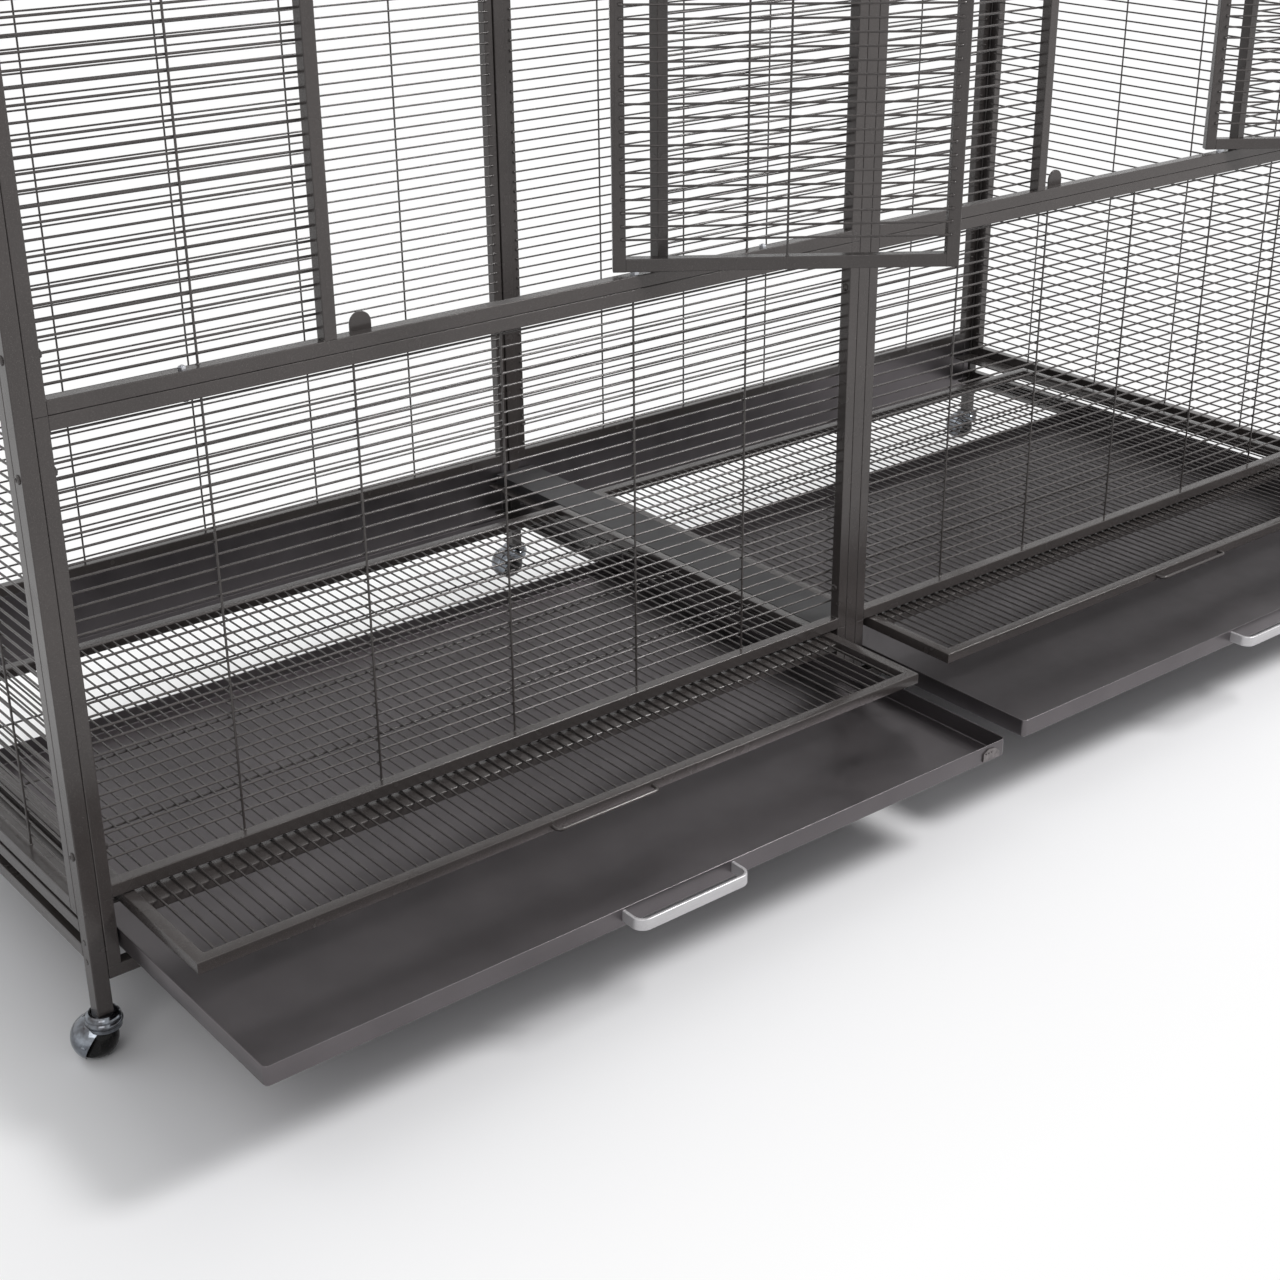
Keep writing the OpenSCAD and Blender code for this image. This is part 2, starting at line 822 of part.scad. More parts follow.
module round_rectangle(width, depth, radius) {
    translate([radius, 0]) square([width - 2 * radius, depth]);
    translate([0, radius]) square([width, depth - 2 * radius]);
    for (x = [radius, width - radius])
        for (y = [radius, depth - radius])
            translate([x, y]) circle(r = radius, $fn = round_facets);
}

module tray(bay) {
    inner_w = tray_w - 2 * tray_wall;
    inner_d = tray_d - 2 * tray_wall;
    color(sheet_coat)
        placed()
            at_tray(bay)
                difference() {
                    linear_extrude(height = tray_h) round_rectangle(tray_w, tray_d, tray_corner);
                    translate([tray_wall, tray_wall, tray_wall])
                        linear_extrude(height = tray_h)
                            round_rectangle(inner_w, inner_d, tray_corner - tray_wall);
                }
}

module strap_outline() {
    difference() {
        strap_shape(strap_w, strap_reach, strap_bend);
        translate([strap_t, -cut])
            strap_shape(strap_w - 2 * strap_t, strap_reach - strap_t + cut, strap_bend - strap_t);
    }
}

// A block whose two far corners are rounded
module strap_shape(width, reach, radius) {
    square([width, reach - radius]);
    translate([radius, 0]) square([width - 2 * radius, reach]);
    for (x = [radius, width - radius])
        translate([x, reach - radius]) circle(r = radius, $fn = round_facets);
}

module tray_handle(bay) {
    color(aluminium)
        placed()
            at_tray(bay)
                translate([(tray_w - strap_w) / 2 + strap_shift, 0, tray_h - strap_drop - strap_h])
                    mirror([0, 1, 0]) linear_extrude(height = strap_h) strap_outline();
}

// Clip on the front right corner of the left tray
module tray_clip() {
    base_h = clip_h - clip_t;
    color(zinc)
        placed()
            at_tray(0)
                translate([tray_w - tray_corner - clip_w, 0, (tray_h - clip_h) / 2])
                    rotate([90, 0, 0]) {
                        linear_extrude(height = clip_t)
                            polygon([
                                [0, 0], [clip_w, 0], [clip_w, base_h / 2], [(1 - clip_arch) * clip_w, base_h],
                                [clip_arch * clip_w, clip_h], [0, (1 - clip_arch) * clip_h]
                            ]);
                        for (n = [1 : 3])
                            translate([n * clip_w / 6, (1 - clip_arch) * base_h, clip_t])
                                cylinder(h = clip_t / 2, d = clip_stud_d, $fn = round_facets);
                    }
}

// Casters: a cap under the post, a hood that swivels in it and a ball that turns in the hood
stem_d = 8;
stem_play = 0.15;
stem_h = 4.2;
stem_root = 1;
ring_h = 5.6;
skirt_h = 3.4;
skirt_step = 1.2;
cap_r = 16;
cap_flat_r = 11;
hood_tilt = 32;
hood_below = 5;
axle_over = 0.7;
ball_half_w = 15;

module caster_caps() {
    socket_d = stem_d + 2 * stem_play;
    cap_rim = [for (s = [0 : rim_steps])
        [cap_flat_r + (cap_r - cap_flat_r) * sin(90 * s / rim_steps), cap_rise * cos(90 * s / rim_steps)]];
    color(zinc)
        placed()
            for (column = [0 : 2])
                for (row = [0, 1])
                    translate([column * bay_w + post_mid, row * cage_d + post_mid, cap_bottom])
                        difference() {
                            rotate_extrude($fn = round_facets)
                                polygon(concat([[0, 0], [0, cap_rise]], cap_rim));
                            translate([0, 0, -cut])
                                cylinder(h = stem_h + cut + stem_play, d = socket_d, $fn = round_facets);
                        }
}

// Stands at the swivel axis of one post, with +X along the direction of trail
module at_caster(column, row) {
    translate([column * bay_w + post_mid, row * cage_d + post_mid, 0]) rotate([0, 0, trail_angle]) children();
}

module ring_profile() {
    low = ring_top - ring_h;
    polygon(concat(
        [[0, low - skirt_h], [ring_r - skirt_step, low - skirt_h], [ring_r - skirt_step, low]],
        [for (s = [0 : rim_steps])
            [ring_r - ring_h / 4 + ring_h / 4 * sin(180 * s / rim_steps), low + ring_h * s / rim_steps]],
        [[0, ring_top]]));
}

module caster_hood(column, row) {
    color(zinc)
        placed()
            at_caster(column, row) {
                difference() {
                    union() {
                        intersection() {
                            translate([trail, 0, ball_r]) sphere(r = hood_out, $fn = 2 * round_facets);
                            translate([trail, 0, ball_r])
                                rotate([0, hood_tilt, 0])
                                    translate([-2 * hood_out, -2 * hood_out, -hood_below])
                                        cube(4 * hood_out);
                        }
                        rotate_extrude($fn = round_facets) ring_profile();
                        translate([0, 0, ring_top - stem_root])
                            cylinder(h = stem_h + stem_root, d = stem_d, $fn = round_facets);
                    }
                    translate([trail, 0, ball_r]) sphere(r = hood_in, $fn = 2 * round_facets);
                }
                translate([trail, hood_out + axle_over, ball_r])
                    rotate([90, 0, 0])
                        cylinder(h = 2 * (hood_out + axle_over), d = axle_d, $fn = round_facets);
            }
}

module ball_wheel(column, row) {
    color(rubber)
        placed()
            at_caster(column, row)
                difference() {
                    intersection() {
                        translate([trail, 0, ball_r]) sphere(r = ball_r, $fn = 2 * round_facets);
                        translate([trail - 2 * ball_r, -ball_half_w, -ball_r])
                            cube([4 * ball_r, 2 * ball_half_w, 4 * ball_r]);
                    }
                    translate([trail, ball_r, ball_r])
                        rotate([90, 0, 0])
                            cylinder(h = 2 * ball_r, d = axle_d + 2 * pin_play, $fn = round_facets);
                }
}

post_tube(0, 0);  // post_front_left
post_tube(1, 0);  // post_front_centre
post_tube(2, 0);  // post_front_right
post_tube(0, 1);  // post_rear_left
post_tube(1, 1);  // post_rear_centre
post_tube(2, 1);  // post_rear_right
lower_panel(0);  // lower_panel_left
lower_panel(1);  // lower_panel_right
latch_side_panel(0);  // latch_side_panel_left
latch_side_panel(1);  // latch_side_panel_right
hinge_side_panel(0);  // hinge_side_panel_left
hinge_side_panel(1);  // hinge_side_panel_right
door_header(0);  // door_header_left
door_header(1);  // door_header_right
sill_rails();
base_front_rails();
base_front_stiles();
rear_panel(0);  // rear_panel_left
rear_panel(1);  // rear_panel_right
rear_apron(0);  // rear_apron_left
rear_apron(1);  // rear_apron_right
side_panel_left();
side_panel_right();
side_base_left();
side_base_right();
roof_panel(0);  // roof_panel_left
roof_panel(1);  // roof_panel_right
centre_beam();
centre_tray_rail();
slide_ledges();
stop_tabs();
panel_bolts();
door_hinges();
door(0);  // door_left
door(1);  // door_right
door_latch(0);  // door_latch_left
door_latch(1);  // door_latch_right
grille(0);  // grille_left
grille(1);  // grille_right
grille_handle(0);  // grille_handle_left
grille_handle(1);  // grille_handle_right
tray(0);  // tray_left
tray(1);  // tray_right
tray_handle(0);  // tray_handle_left
tray_handle(1);  // tray_handle_right
tray_clip();
caster_caps();
caster_hood(0, 0);  // caster_hood_front_left
caster_hood(1, 0);  // caster_hood_front_centre
caster_hood(2, 0);  // caster_hood_front_right
caster_hood(0, 1);  // caster_hood_rear_left
caster_hood(1, 1);  // caster_hood_rear_centre
caster_hood(2, 1);  // caster_hood_rear_right
ball_wheel(0, 0);  // ball_front_left
ball_wheel(1, 0);  // ball_front_centre
ball_wheel(2, 0);  // ball_front_right
ball_wheel(0, 1);  // ball_rear_left
ball_wheel(1, 1);  // ball_rear_centre
ball_wheel(2, 1);  // ball_rear_right
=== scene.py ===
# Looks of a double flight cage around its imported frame: paint, metal, welds, fixings, trays and light.
# Lengths are in metres. X runs along the front, the front faces -Y, and Z = 0 is the floor.
import json
import math

import bmesh
import bpy
import numpy as np
from mathutils import Matrix, Vector


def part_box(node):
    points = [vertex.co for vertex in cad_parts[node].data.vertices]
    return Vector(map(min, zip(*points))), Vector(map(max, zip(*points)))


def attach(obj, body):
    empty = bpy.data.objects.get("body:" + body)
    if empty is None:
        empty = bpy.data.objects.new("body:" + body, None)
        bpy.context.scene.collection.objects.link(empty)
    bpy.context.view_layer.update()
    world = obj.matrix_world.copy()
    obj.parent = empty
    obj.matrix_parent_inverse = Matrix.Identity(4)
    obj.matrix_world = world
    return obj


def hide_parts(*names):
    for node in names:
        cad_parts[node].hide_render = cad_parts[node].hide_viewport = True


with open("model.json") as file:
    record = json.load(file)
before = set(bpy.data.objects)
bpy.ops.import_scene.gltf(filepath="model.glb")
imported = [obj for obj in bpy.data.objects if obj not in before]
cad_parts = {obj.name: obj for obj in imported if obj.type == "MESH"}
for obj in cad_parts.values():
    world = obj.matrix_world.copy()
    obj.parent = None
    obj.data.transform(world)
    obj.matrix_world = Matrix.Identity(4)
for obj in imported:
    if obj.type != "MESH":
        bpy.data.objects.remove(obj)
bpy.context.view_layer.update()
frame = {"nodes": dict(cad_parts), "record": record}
print("frame loaded:", len(frame["nodes"]), "nodes")

sides = ("left", "right")
columns = ("left", "centre", "right")
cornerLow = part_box("post_front_left")[0]

# Sizes that the whole cage shares: the frame's are taken from its nodes, and the wires' are given
panelLow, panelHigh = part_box("lower_panel_left")
sillLow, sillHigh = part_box("sill_rails")
cage = dict(
    bay=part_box("post_front_centre")[0].x - cornerLow.x,
    depth=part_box("post_rear_left")[0].y - cornerLow.y,
    post=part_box("post_front_left")[1].x - cornerLow.x,
    tube=sillHigh.y - sillLow.y,
    panelX=panelLow.x - cornerLow.x,
    panelW=panelHigh.x - panelLow.x,
    openLeft=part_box("latch_side_panel_left")[1].x - cornerLow.x,
    openRight=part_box("hinge_side_panel_left")[0].x - cornerLow.x,
    wireD=0.0022,
    wirePitch=0.0125,
    wireMargin=0.0064,  # from a rail to the first wire
    wireDepth=0.0133,  # of the beads behind the panel's outer side
    wireLap=0.004,  # of the wires' ends over the stiles
    braceDepth=0.01105,
    braceOffsets=(-0.298, -0.154, 0.0, 0.154, 0.298),  # from the middle of a bay's panel
    sideBraces=4,
    sideBraceEdge=0.104,  # from the frame of an end panel to its outer braces
)


# Camera, solved from the straight edges of the photograph
def makeCamera():
    view = dict(
        place=(-1.455367, -1.662178, 1.108276),
        right=(0.761854, -0.647719, 0.006174),
        down=(-0.262707, -0.317682, -0.911078),
        lens=56.81,
        film=36.0,
        shift=(-0.0518, -0.0236),
        sight=60.0,
    )
    data = bpy.data.cameras.new("camera")
    data.lens, data.sensor_width = view["lens"], view["film"]
    data.shift_x, data.shift_y = view["shift"]
    data.clip_end = view["sight"]
    camera = bpy.data.objects.new("camera", data)
    right, up = Vector(view["right"]), -Vector(view["down"])
    turn = Matrix((right, up, right.cross(up))).transposed()
    camera.matrix_world = Matrix.Translation(view["place"]) @ turn.to_4x4()
    bpy.context.scene.collection.objects.link(camera)
    bpy.context.scene.camera = camera


makeCamera()
print("camera ready")


# Node helpers
def addNode(tree, kind, **settings):
    node = tree.nodes.new(kind)
    for key, value in settings.items():
        setattr(node, key, value)
    return node


def setInputs(node, **values):
    for key, value in values.items():
        node.inputs[key.replace("_", " ")].default_value = value
    return node


def mathNode(tree, operation, first, second=None, clamp=False):
    node = addNode(tree, "ShaderNodeMath", operation=operation, use_clamp=clamp)
    for slot, value in enumerate((first, second)):
        if value is None:
            continue
        if isinstance(value, (int, float)):
            node.inputs[slot].default_value = value
        else:
            tree.links.new(value, node.inputs[slot])
    return node.outputs[0]


def vectorNode(tree, operation, first, second=None):
    node = addNode(tree, "ShaderNodeVectorMath", operation=operation)
    tree.links.new(first, node.inputs[0])
    if second is not None:
        node.inputs[1].default_value = second
    return node.outputs[0]


def noiseNode(tree, vector, scale, detail=2.0, roughness=0.5):
    node = addNode(tree, "ShaderNodeTexNoise")
    setInputs(node, Scale=scale, Detail=detail, Roughness=roughness)
    tree.links.new(vector, node.inputs["Vector"])
    return node.outputs["Fac"]


def rangeNode(tree, value, low, high, outLow=0.0, outHigh=1.0):
    node = addNode(tree, "ShaderNodeMapRange", clamp=True)
    for slot, amount in zip(range(1, 5), (low, high, outLow, outHigh)):
        node.inputs[slot].default_value = amount
    tree.links.new(value, node.inputs[0])
    return node.outputs[0]


def mixColour(tree, factor, first, second):
    node = addNode(tree, "ShaderNodeMix", data_type="RGBA")
    for slot, value in ((0, factor), (6, first), (7, second)):
        if isinstance(value, (tuple, float, int)):
            node.inputs[slot].default_value = value
        else:
            tree.links.new(value, node.inputs[slot])
    return node.outputs[2]


def newGroup(name, inputs, outputs):
    tree = bpy.data.node_groups.new(name, "ShaderNodeTree")
    for label, kind, value in inputs:
        tree.interface.new_socket(label, in_out="INPUT", socket_type=kind).default_value = value
    for label, kind in outputs:
        tree.interface.new_socket(label, in_out="OUTPUT", socket_type=kind)
    return tree, tree.nodes.new("NodeGroupInput"), tree.nodes.new("NodeGroupOutput")


# The band of a noise's values that is stretched over the full range. A noise is written as
# (scale, detail, roughness)
noiseBand = (0.3, 0.7)

# Powder paint: slow changes of tone, fine lighter flecks and an orange-peel height
powderLook = dict(
    toneNoise=(9.0, 3.0), tone=(0.86, 1.12), fleckNoise=(1900.0, 1.0), fleckBand=(0.6, 0.74),
    patchNoise=(40.0, 2.0), patch=(-0.04, 0.05), peelNoise=(620.0, 1.5),
)


def makePowderGroup():
    look = powderLook
    tree, source, result = newGroup(
        "powderPaint",
        (
            ("Colour", "NodeSocketColor", (0.1, 0.1, 0.1, 1.0)),
            ("Fleck Colour", "NodeSocketColor", (0.3, 0.3, 0.3, 1.0)),
            ("Fleck Amount", "NodeSocketFloat", 0.3),
            ("Roughness", "NodeSocketFloat", 0.4),
        ),
        (("Colour", "NodeSocketColor"), ("Roughness", "NodeSocketFloat"), ("Height", "NodeSocketFloat")),
    )
    place = addNode(tree, "ShaderNodeTexCoord").outputs["Object"]
    tone = rangeNode(tree, noiseNode(tree, place, *look["toneNoise"]), *noiseBand, *look["tone"])
    flecks = rangeNode(tree, noiseNode(tree, place, *look["fleckNoise"]), *look["fleckBand"])
    flecks = mathNode(tree, "MULTIPLY", flecks, source.outputs["Fleck Amount"])
    toned = addNode(tree, "ShaderNodeVectorMath", operation="SCALE")
    tree.links.new(source.outputs["Colour"], toned.inputs[0])
    tree.links.new(tone, toned.inputs["Scale"])
    colour = mixColour(tree, flecks, toned.outputs[0], source.outputs["Fleck Colour"])
    patches = rangeNode(tree, noiseNode(tree, place, *look["patchNoise"]), *noiseBand, *look["patch"])
    roughness = mathNode(tree, "ADD", source.outputs["Roughness"], patches, clamp=True)
    height = noiseNode(tree, place, *look["peelNoise"])
    tree.links.new(colour, result.inputs["Colour"])
    tree.links.new(roughness, result.inputs["Roughness"])
    tree.links.new(height, result.inputs["Height"])
    return tree


# Dust that settles on faces that look up, in soft patches
dustLook = dict(upward=(0.5, 0.98), patches=(0.35, 0.75), detail=5.0, roughness=0.65)


def makeDustGroup():
    tree, source, result = newGroup(
        "settledDust",
        (("Amount", "NodeSocketFloat", 0.2), ("Patch Scale", "NodeSocketFloat", 14.0)),
        (("Mask", "NodeSocketFloat"),),
    )
    place = addNode(tree, "ShaderNodeTexCoord").outputs["Object"]
    split = addNode(tree, "ShaderNodeSeparateXYZ")
    tree.links.new(addNode(tree, "ShaderNodeNewGeometry").outputs["Normal"], split.inputs[0])
    upward = rangeNode(tree, split.outputs["Z"], *dustLook["upward"])
    patches = addNode(tree, "ShaderNodeTexNoise")
    setInputs(patches, Detail=dustLook["detail"], Roughness=dustLook["roughness"])
    tree.links.new(place, patches.inputs["Vector"])
    tree.links.new(source.outputs["Patch Scale"], patches.inputs["Scale"])
    soft = rangeNode(tree, patches.outputs["Fac"], *dustLook["patches"])
    mask = mathNode(tree, "MULTIPLY", mathNode(tree, "MULTIPLY", upward, soft), source.outputs["Amount"])
    tree.links.new(mask, result.inputs["Mask"])
    return tree


# Fine straight lines along one axis, as rolling leaves them
brushLook = dict(band=(0.35, 0.7), detail=3.0, roughness=0.6)


def makeBrushGroup():
    tree, source, result = newGroup(
        "brushedLines",
        (("Stretch", "NodeSocketVector", (1.0, 60.0, 60.0)), ("Scale", "NodeSocketFloat", 60.0)),
        (("Height", "NodeSocketFloat"), ("Mask", "NodeSocketFloat")),
    )
    place = addNode(tree, "ShaderNodeTexCoord").outputs["Object"]
    stretch = addNode(tree, "ShaderNodeVectorMath", operation="MULTIPLY")
    tree.links.new(place, stretch.inputs[0])
    tree.links.new(source.outputs["Stretch"], stretch.inputs[1])
    lines = addNode(tree, "ShaderNodeTexNoise")
    setInputs(lines, Detail=brushLook["detail"], Roughness=brushLook["roughness"])
    tree.links.new(stretch.outputs[0], lines.inputs["Vector"])
    tree.links.new(source.outputs["Scale"], lines.inputs["Scale"])
    tree.links.new(lines.outputs["Fac"], result.inputs["Height"])
    tree.links.new(rangeNode(tree, lines.outputs["Fac"], *brushLook["band"]), result.inputs["Mask"])
    return tree


groups = dict(powder=makePowderGroup(), dust=makeDustGroup(), brush=makeBrushGroup())


def newMaterial(name, **values):
    material = bpy.data.materials.new(name)
    material.use_nodes = True
    tree = material.node_tree
    shader = tree.nodes["Principled BSDF"]
    setInputs(shader, **values)
    return material, tree, shader


def placeGroup(tree, name, **values):
    node = addNode(tree, "ShaderNodeGroup", node_tree=groups[name])
    return setInputs(node, **values)


# Height into the shader's normal, and with an edge radius the corners are shaded as rounded
def bumpInto(tree, shader, height, strength, distance, edge=0.0, edgeSamples=4):
    bump = setInputs(addNode(tree, "ShaderNodeBump"), Strength=strength, Distance=distance)
    if edge:
        bevel = setInputs(addNode(tree, "ShaderNodeBevel", samples=edgeSamples), Radius=edge)
        tree.links.new(bevel.outputs[0], bump.inputs["Normal"])
    tree.links.new(height, bump.inputs["Height"])
    tree.links.new(bump.outputs[0], shader.inputs["Normal"])


# Painted steel, for the tubes and wires, and smoother for the folded sheet and the centre beam. The centre
# beam's copy is darker, and its darker colour is painted shade.
def makePaint(name, look):
    material, tree, shader = newMaterial(
        name,
        Metallic=look["metallic"],
        Specular_IOR_Level=look["specular"],
        Coat_Weight=look["coat"],
        Coat_Roughness=look["coatRoughness"],
    )
    paint = placeGroup(
        tree,
        "powder",
        Colour=look["colour"],
        Fleck_Colour=look["fleckColour"],
        Fleck_Amount=look["flecks"],
        Roughness=look["roughness"],
    )
    dust = placeGroup(tree, "dust", Amount=look["dust"], Patch_Scale=look["dustScale"])
    colour = mixColour(tree, dust.outputs["Mask"], paint.outputs["Colour"], look["dustColour"])
    tree.links.new(colour, shader.inputs["Base Color"])
    tree.links.new(paint.outputs["Roughness"], shader.inputs["Roughness"])
    bumpInto(tree, shader, paint.outputs["Height"], look["bump"], look["depth"], look["edge"])
    return material


wireCoat = dict(
    colour=(0.050, 0.043, 0.041, 1.0),
    fleckColour=(0.21, 0.19, 0.18, 1.0),
    flecks=0.45,
    roughness=0.24,
    metallic=0.20,
    specular=0.5,
    coat=0.1,
    coatRoughness=0.14,
    dust=0.12,
    dustScale=14.0,
    dustColour=(0.26, 0.25, 0.25, 1.0),
    bump=0.12,
    depth=0.0004,
    edge=0.0009,
)
sheetCoat = dict(
    wireCoat,
    colour=(0.125, 0.114, 0.119, 1.0),
    fleckColour=(0.20, 0.20, 0.205, 1.0),
    flecks=0.08,
    roughness=0.32,
    metallic=0.9,
    coat=0.0,
    dust=0.10,
    dustScale=5.0,
    dustColour=(0.20, 0.20, 0.205, 1.0),
    bump=0.015,
    edge=0.0,
)
# Centre beam: the same coat, made darker and duller. Its darker colour is painted shade.
beamCoatPaintedShade = dict(
    sheetCoat, colour=(0.026, 0.025, 0.026, 1.0), metallic=0.0, specular=0.25, roughness=0.45, dust=0.2,
)


# Bump distance of the unpainted finishes, and the detail and roughness of the plates' patches
bareDepth = 0.0003
plateGrain = (4.0, 0.6)


# Plated steel: two tones in soft patches, uneven gloss and a faint waviness. On the caster chrome the two
# tones are painted reflections.
def makePlate(name, look):
    material, tree, shader = newMaterial(name, Metallic=1.0)
    place = addNode(tree, "ShaderNodeTexCoord").outputs["Object"]
    mottle = rangeNode(tree, noiseNode(tree, place, look["patches"], *plateGrain), *noiseBand)
    tree.links.new(mixColour(tree, mottle, look["dark"], look["pale"]), shader.inputs["Base Color"])
    rough = rangeNode(tree, noiseNode(tree, place, 2 * look["patches"]), *noiseBand, *look["roughness"])
    tree.links.new(rough, shader.inputs["Roughness"])
    bumpInto(tree, shader, noiseNode(tree, place, look["waves"]), look["bump"], bareDepth)
    return material


zincLook = dict(
    dark=(0.40, 0.41, 0.44, 1.0), pale=(0.62, 0.63, 0.66, 1.0), patches=160.0,
    roughness=(0.26, 0.40), waves=900.0, bump=0.10,
)
clipSteel = dict(
    dark=(0.13, 0.12, 0.12, 1.0), pale=(0.24, 0.22, 0.22, 1.0), patches=220.0,
    roughness=(0.28, 0.44), waves=700.0, bump=0.12,
)
# Caster chrome, darkened overall: its near-black brown tone is a painted dark reflection and its pale blue
# tone a painted bright reflection
chromePaintedReflections = dict(
    dark=(0.035, 0.028, 0.026, 1.0), pale=(0.30, 0.33, 0.37, 1.0), patches=60.0,
    roughness=(0.08, 0.16), waves=250.0, bump=0.05,
)


# Satin aluminium strap, with lines rolled along X
strapMetal = dict(
    dark=(0.46, 0.45, 0.46, 1.0), pale=(0.56, 0.55, 0.56, 1.0), metallic=0.75,
    stretch=(1.0, 40.0, 40.0), scale=40.0, roughness=(0.34, 0.46), bump=0.08,
)


def makeAluminium():
    look = strapMetal
    material, tree, shader = newMaterial("strapAluminium", Metallic=look["metallic"])
    lines = placeGroup(tree, "brush", Stretch=look["stretch"], Scale=look["scale"])
    colour = mixColour(tree, lines.outputs["Mask"], look["dark"], look["pale"])
    tree.links.new(colour, shader.inputs["Base Color"])
    rough = rangeNode(tree, lines.outputs["Mask"], 0.0, 1.0, *look["roughness"])
    tree.links.new(rough, shader.inputs["Roughness"])
    bumpInto(tree, shader, lines.outputs["Height"], look["bump"], bareDepth)
    return material


# Moulded black wheel with pale scuffs
wheelPlastic = dict(
    dark=(0.006, 0.0055, 0.0055, 1.0), pale=(0.018, 0.016, 0.015, 1.0), specular=0.18,
    scuffNoise=(120.0, 6.0, 0.7), scuffs=(0.5, 0.8), roughness=(0.24, 0.5), grain=500.0, bump=0.06,
)


def makeBall():
    look = wheelPlastic
    material, tree, shader = newMaterial("wheelPlastic", Specular_IOR_Level=look["specular"])
    place = addNode(tree, "ShaderNodeTexCoord").outputs["Object"]
    scuffs = rangeNode(tree, noiseNode(tree, place, *look["scuffNoise"]), *look["scuffs"])
    tree.links.new(mixColour(tree, scuffs, look["dark"], look["pale"]), shader.inputs["Base Color"])
    tree.links.new(rangeNode(tree, scuffs, 0.0, 1.0, *look["roughness"]), shader.inputs["Roughness"])
    bumpInto(tree, shader, noiseNode(tree, place, look["grain"]), look["bump"], bareDepth)
    return material


finishes = dict(
    wire_coat=makePaint("wireCoat", wireCoat),
    sheet_coat=makePaint("sheetCoat", sheetCoat),
    zinc=makePlate("zincPlate", zincLook),
    caster_chrome=makePlate("casterChromePaintedReflections", chromePaintedReflections),
    handle_aluminium=makeAluminium(),
    ball_plastic=makeBall(),
)
for part in frame["record"]["subparts"]:
    node = frame["nodes"][part["node"]]
    node.data.materials.clear()
    node.data.materials.append(finishes[part["material_slot"]])
# The centre beam takes the darker copy of the coat, and its darker colour is painted shade
frame["nodes"]["centre_beam"].data.materials[0] = makePaint("beamCoatPaintedShade", beamCoatPaintedShade)
frame["nodes"]["tray_clip"].data.materials[0] = makePlate("clipSteel", clipSteel)
print("materials on all nodes")


# Surfaces. A shape is a pair: points as an (n, 3) array, and faces as a list of index arrays.
# A grid of points, rows by columns, becomes quads. Each row is a closed ring, and a cap is one face on the
# first or last ring
def gridShape(points, capped=True):
    rows, across = points.shape[:2]
    index = np.arange(rows * across).reshape(rows, across)
    ring = np.concatenate((index, index[:, :1]), axis=1)
    quads = np.stack((ring[:-1, :-1], ring[:-1, 1:], ring[1:, 1:], ring[1:, :-1]), axis=-1).reshape(-1, 4)
    caps = [index[0][::-1][None], index[-1][None]] if capped else []
    return points.reshape(-1, 3), [quads] + caps


# Copies of a shape: each point is scaled, turned and moved by its copy's matrix
def repeatShape(shape, matrices):
    points, faces = shape
    matrices = np.asarray(matrices, float)
    placed = np.einsum("nij,vj->nvi", matrices[:, :3, :3], points) + matrices[:, None, :3, 3]
    steps = (np.arange(len(matrices)) * len(points))[:, None, None]
    return placed.reshape(-1, 3), [(f[None] + steps).reshape(-1, f.shape[1]) for f in faces]


def joinShapes(*shapes):
    points, faces, start = [], [], 0
    for shapePoints, shapeFaces in shapes:
        points.append(shapePoints)
        faces += [f + start for f in shapeFaces]
        start += len(shapePoints)
    return np.concatenate(points), faces


# A profile of (radius, height) turned round Z
def turnedShape(profile, around=32):
    profile = np.asarray(profile, float)
    angles = np.linspace(0, 2 * math.pi, around, endpoint=False)
    circle = np.stack((np.cos(angles), np.sin(angles)), axis=-1)
    points = np.empty((len(profile), around, 3))
    points[..., :2] = profile[:, None, :1] * circle[None]
    points[..., 2] = profile[:, None, 1]
    return gridShape(points)


# A closed profile of (sideways, upward) points carried along a path that lies level
def carriedShape(path, profile):
    path, profile = np.asarray(path, float), np.asarray(profile, float)
    heading = np.gradient(path, axis=0)
    heading /= np.linalg.norm(heading, axis=1)[:, None]
    sideways = np.cross(heading, (0.0, 0.0, 1.0))
    points = path[:, None] + profile[None, :, :1] * sideways[:, None]
    points[..., 2] += profile[None, :, 1]
    return gridShape(points)


# Rounded rectangle: quarter circles of the corner radius, joined by the straight sides
def roundedOutline(width, depth, radius, steps=6):
    angles = np.concatenate([np.linspace(q, q + 1, steps + 1) for q in range(4)]) * math.pi / 2
    signs = np.repeat(np.array(((1, 1), (-1, 1), (-1, -1), (1, -1))), steps + 1, axis=0)
    middle = signs * (np.array((width, depth)) / 2 - radius)
    return middle + radius * np.stack((np.cos(angles), np.sin(angles)), axis=-1)


# A finished piece: its doubles merged, its faces turned outwards and its edges marked where they are sharp
def makePiece(name, shape, body, slot, sharp=35.0):
    points, faces = shape
    mesh = bpy.data.meshes.new(name)
    mesh.from_pydata(points.tolist(), [], [face for block in faces for face in block.tolist()])
    work = bmesh.new()
    work.from_mesh(mesh)
    bmesh.ops.remove_doubles(work, verts=work.verts, dist=1e-7)
    bmesh.ops.recalc_face_normals(work, faces=work.faces)
    work.to_mesh(mesh)
    work.free()
    mesh.shade_smooth()
    mesh.set_sharp_from_angle(angle=math.radians(sharp))
    mesh.materials.append(finishes[slot])
    piece = bpy.data.objects.new(name, mesh)
    bpy.context.scene.collection.objects.link(piece)
    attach(piece, body)
    return piece


# Heights of the wires between two rails, from the top down
def wireHeights(low, high):
    count = 1 + math.floor((high - low - 2 * cage["wireMargin"]) / cage["wirePitch"] + 1e-6)
    return high - cage["wireMargin"] - np.arange(count) * cage["wirePitch"]


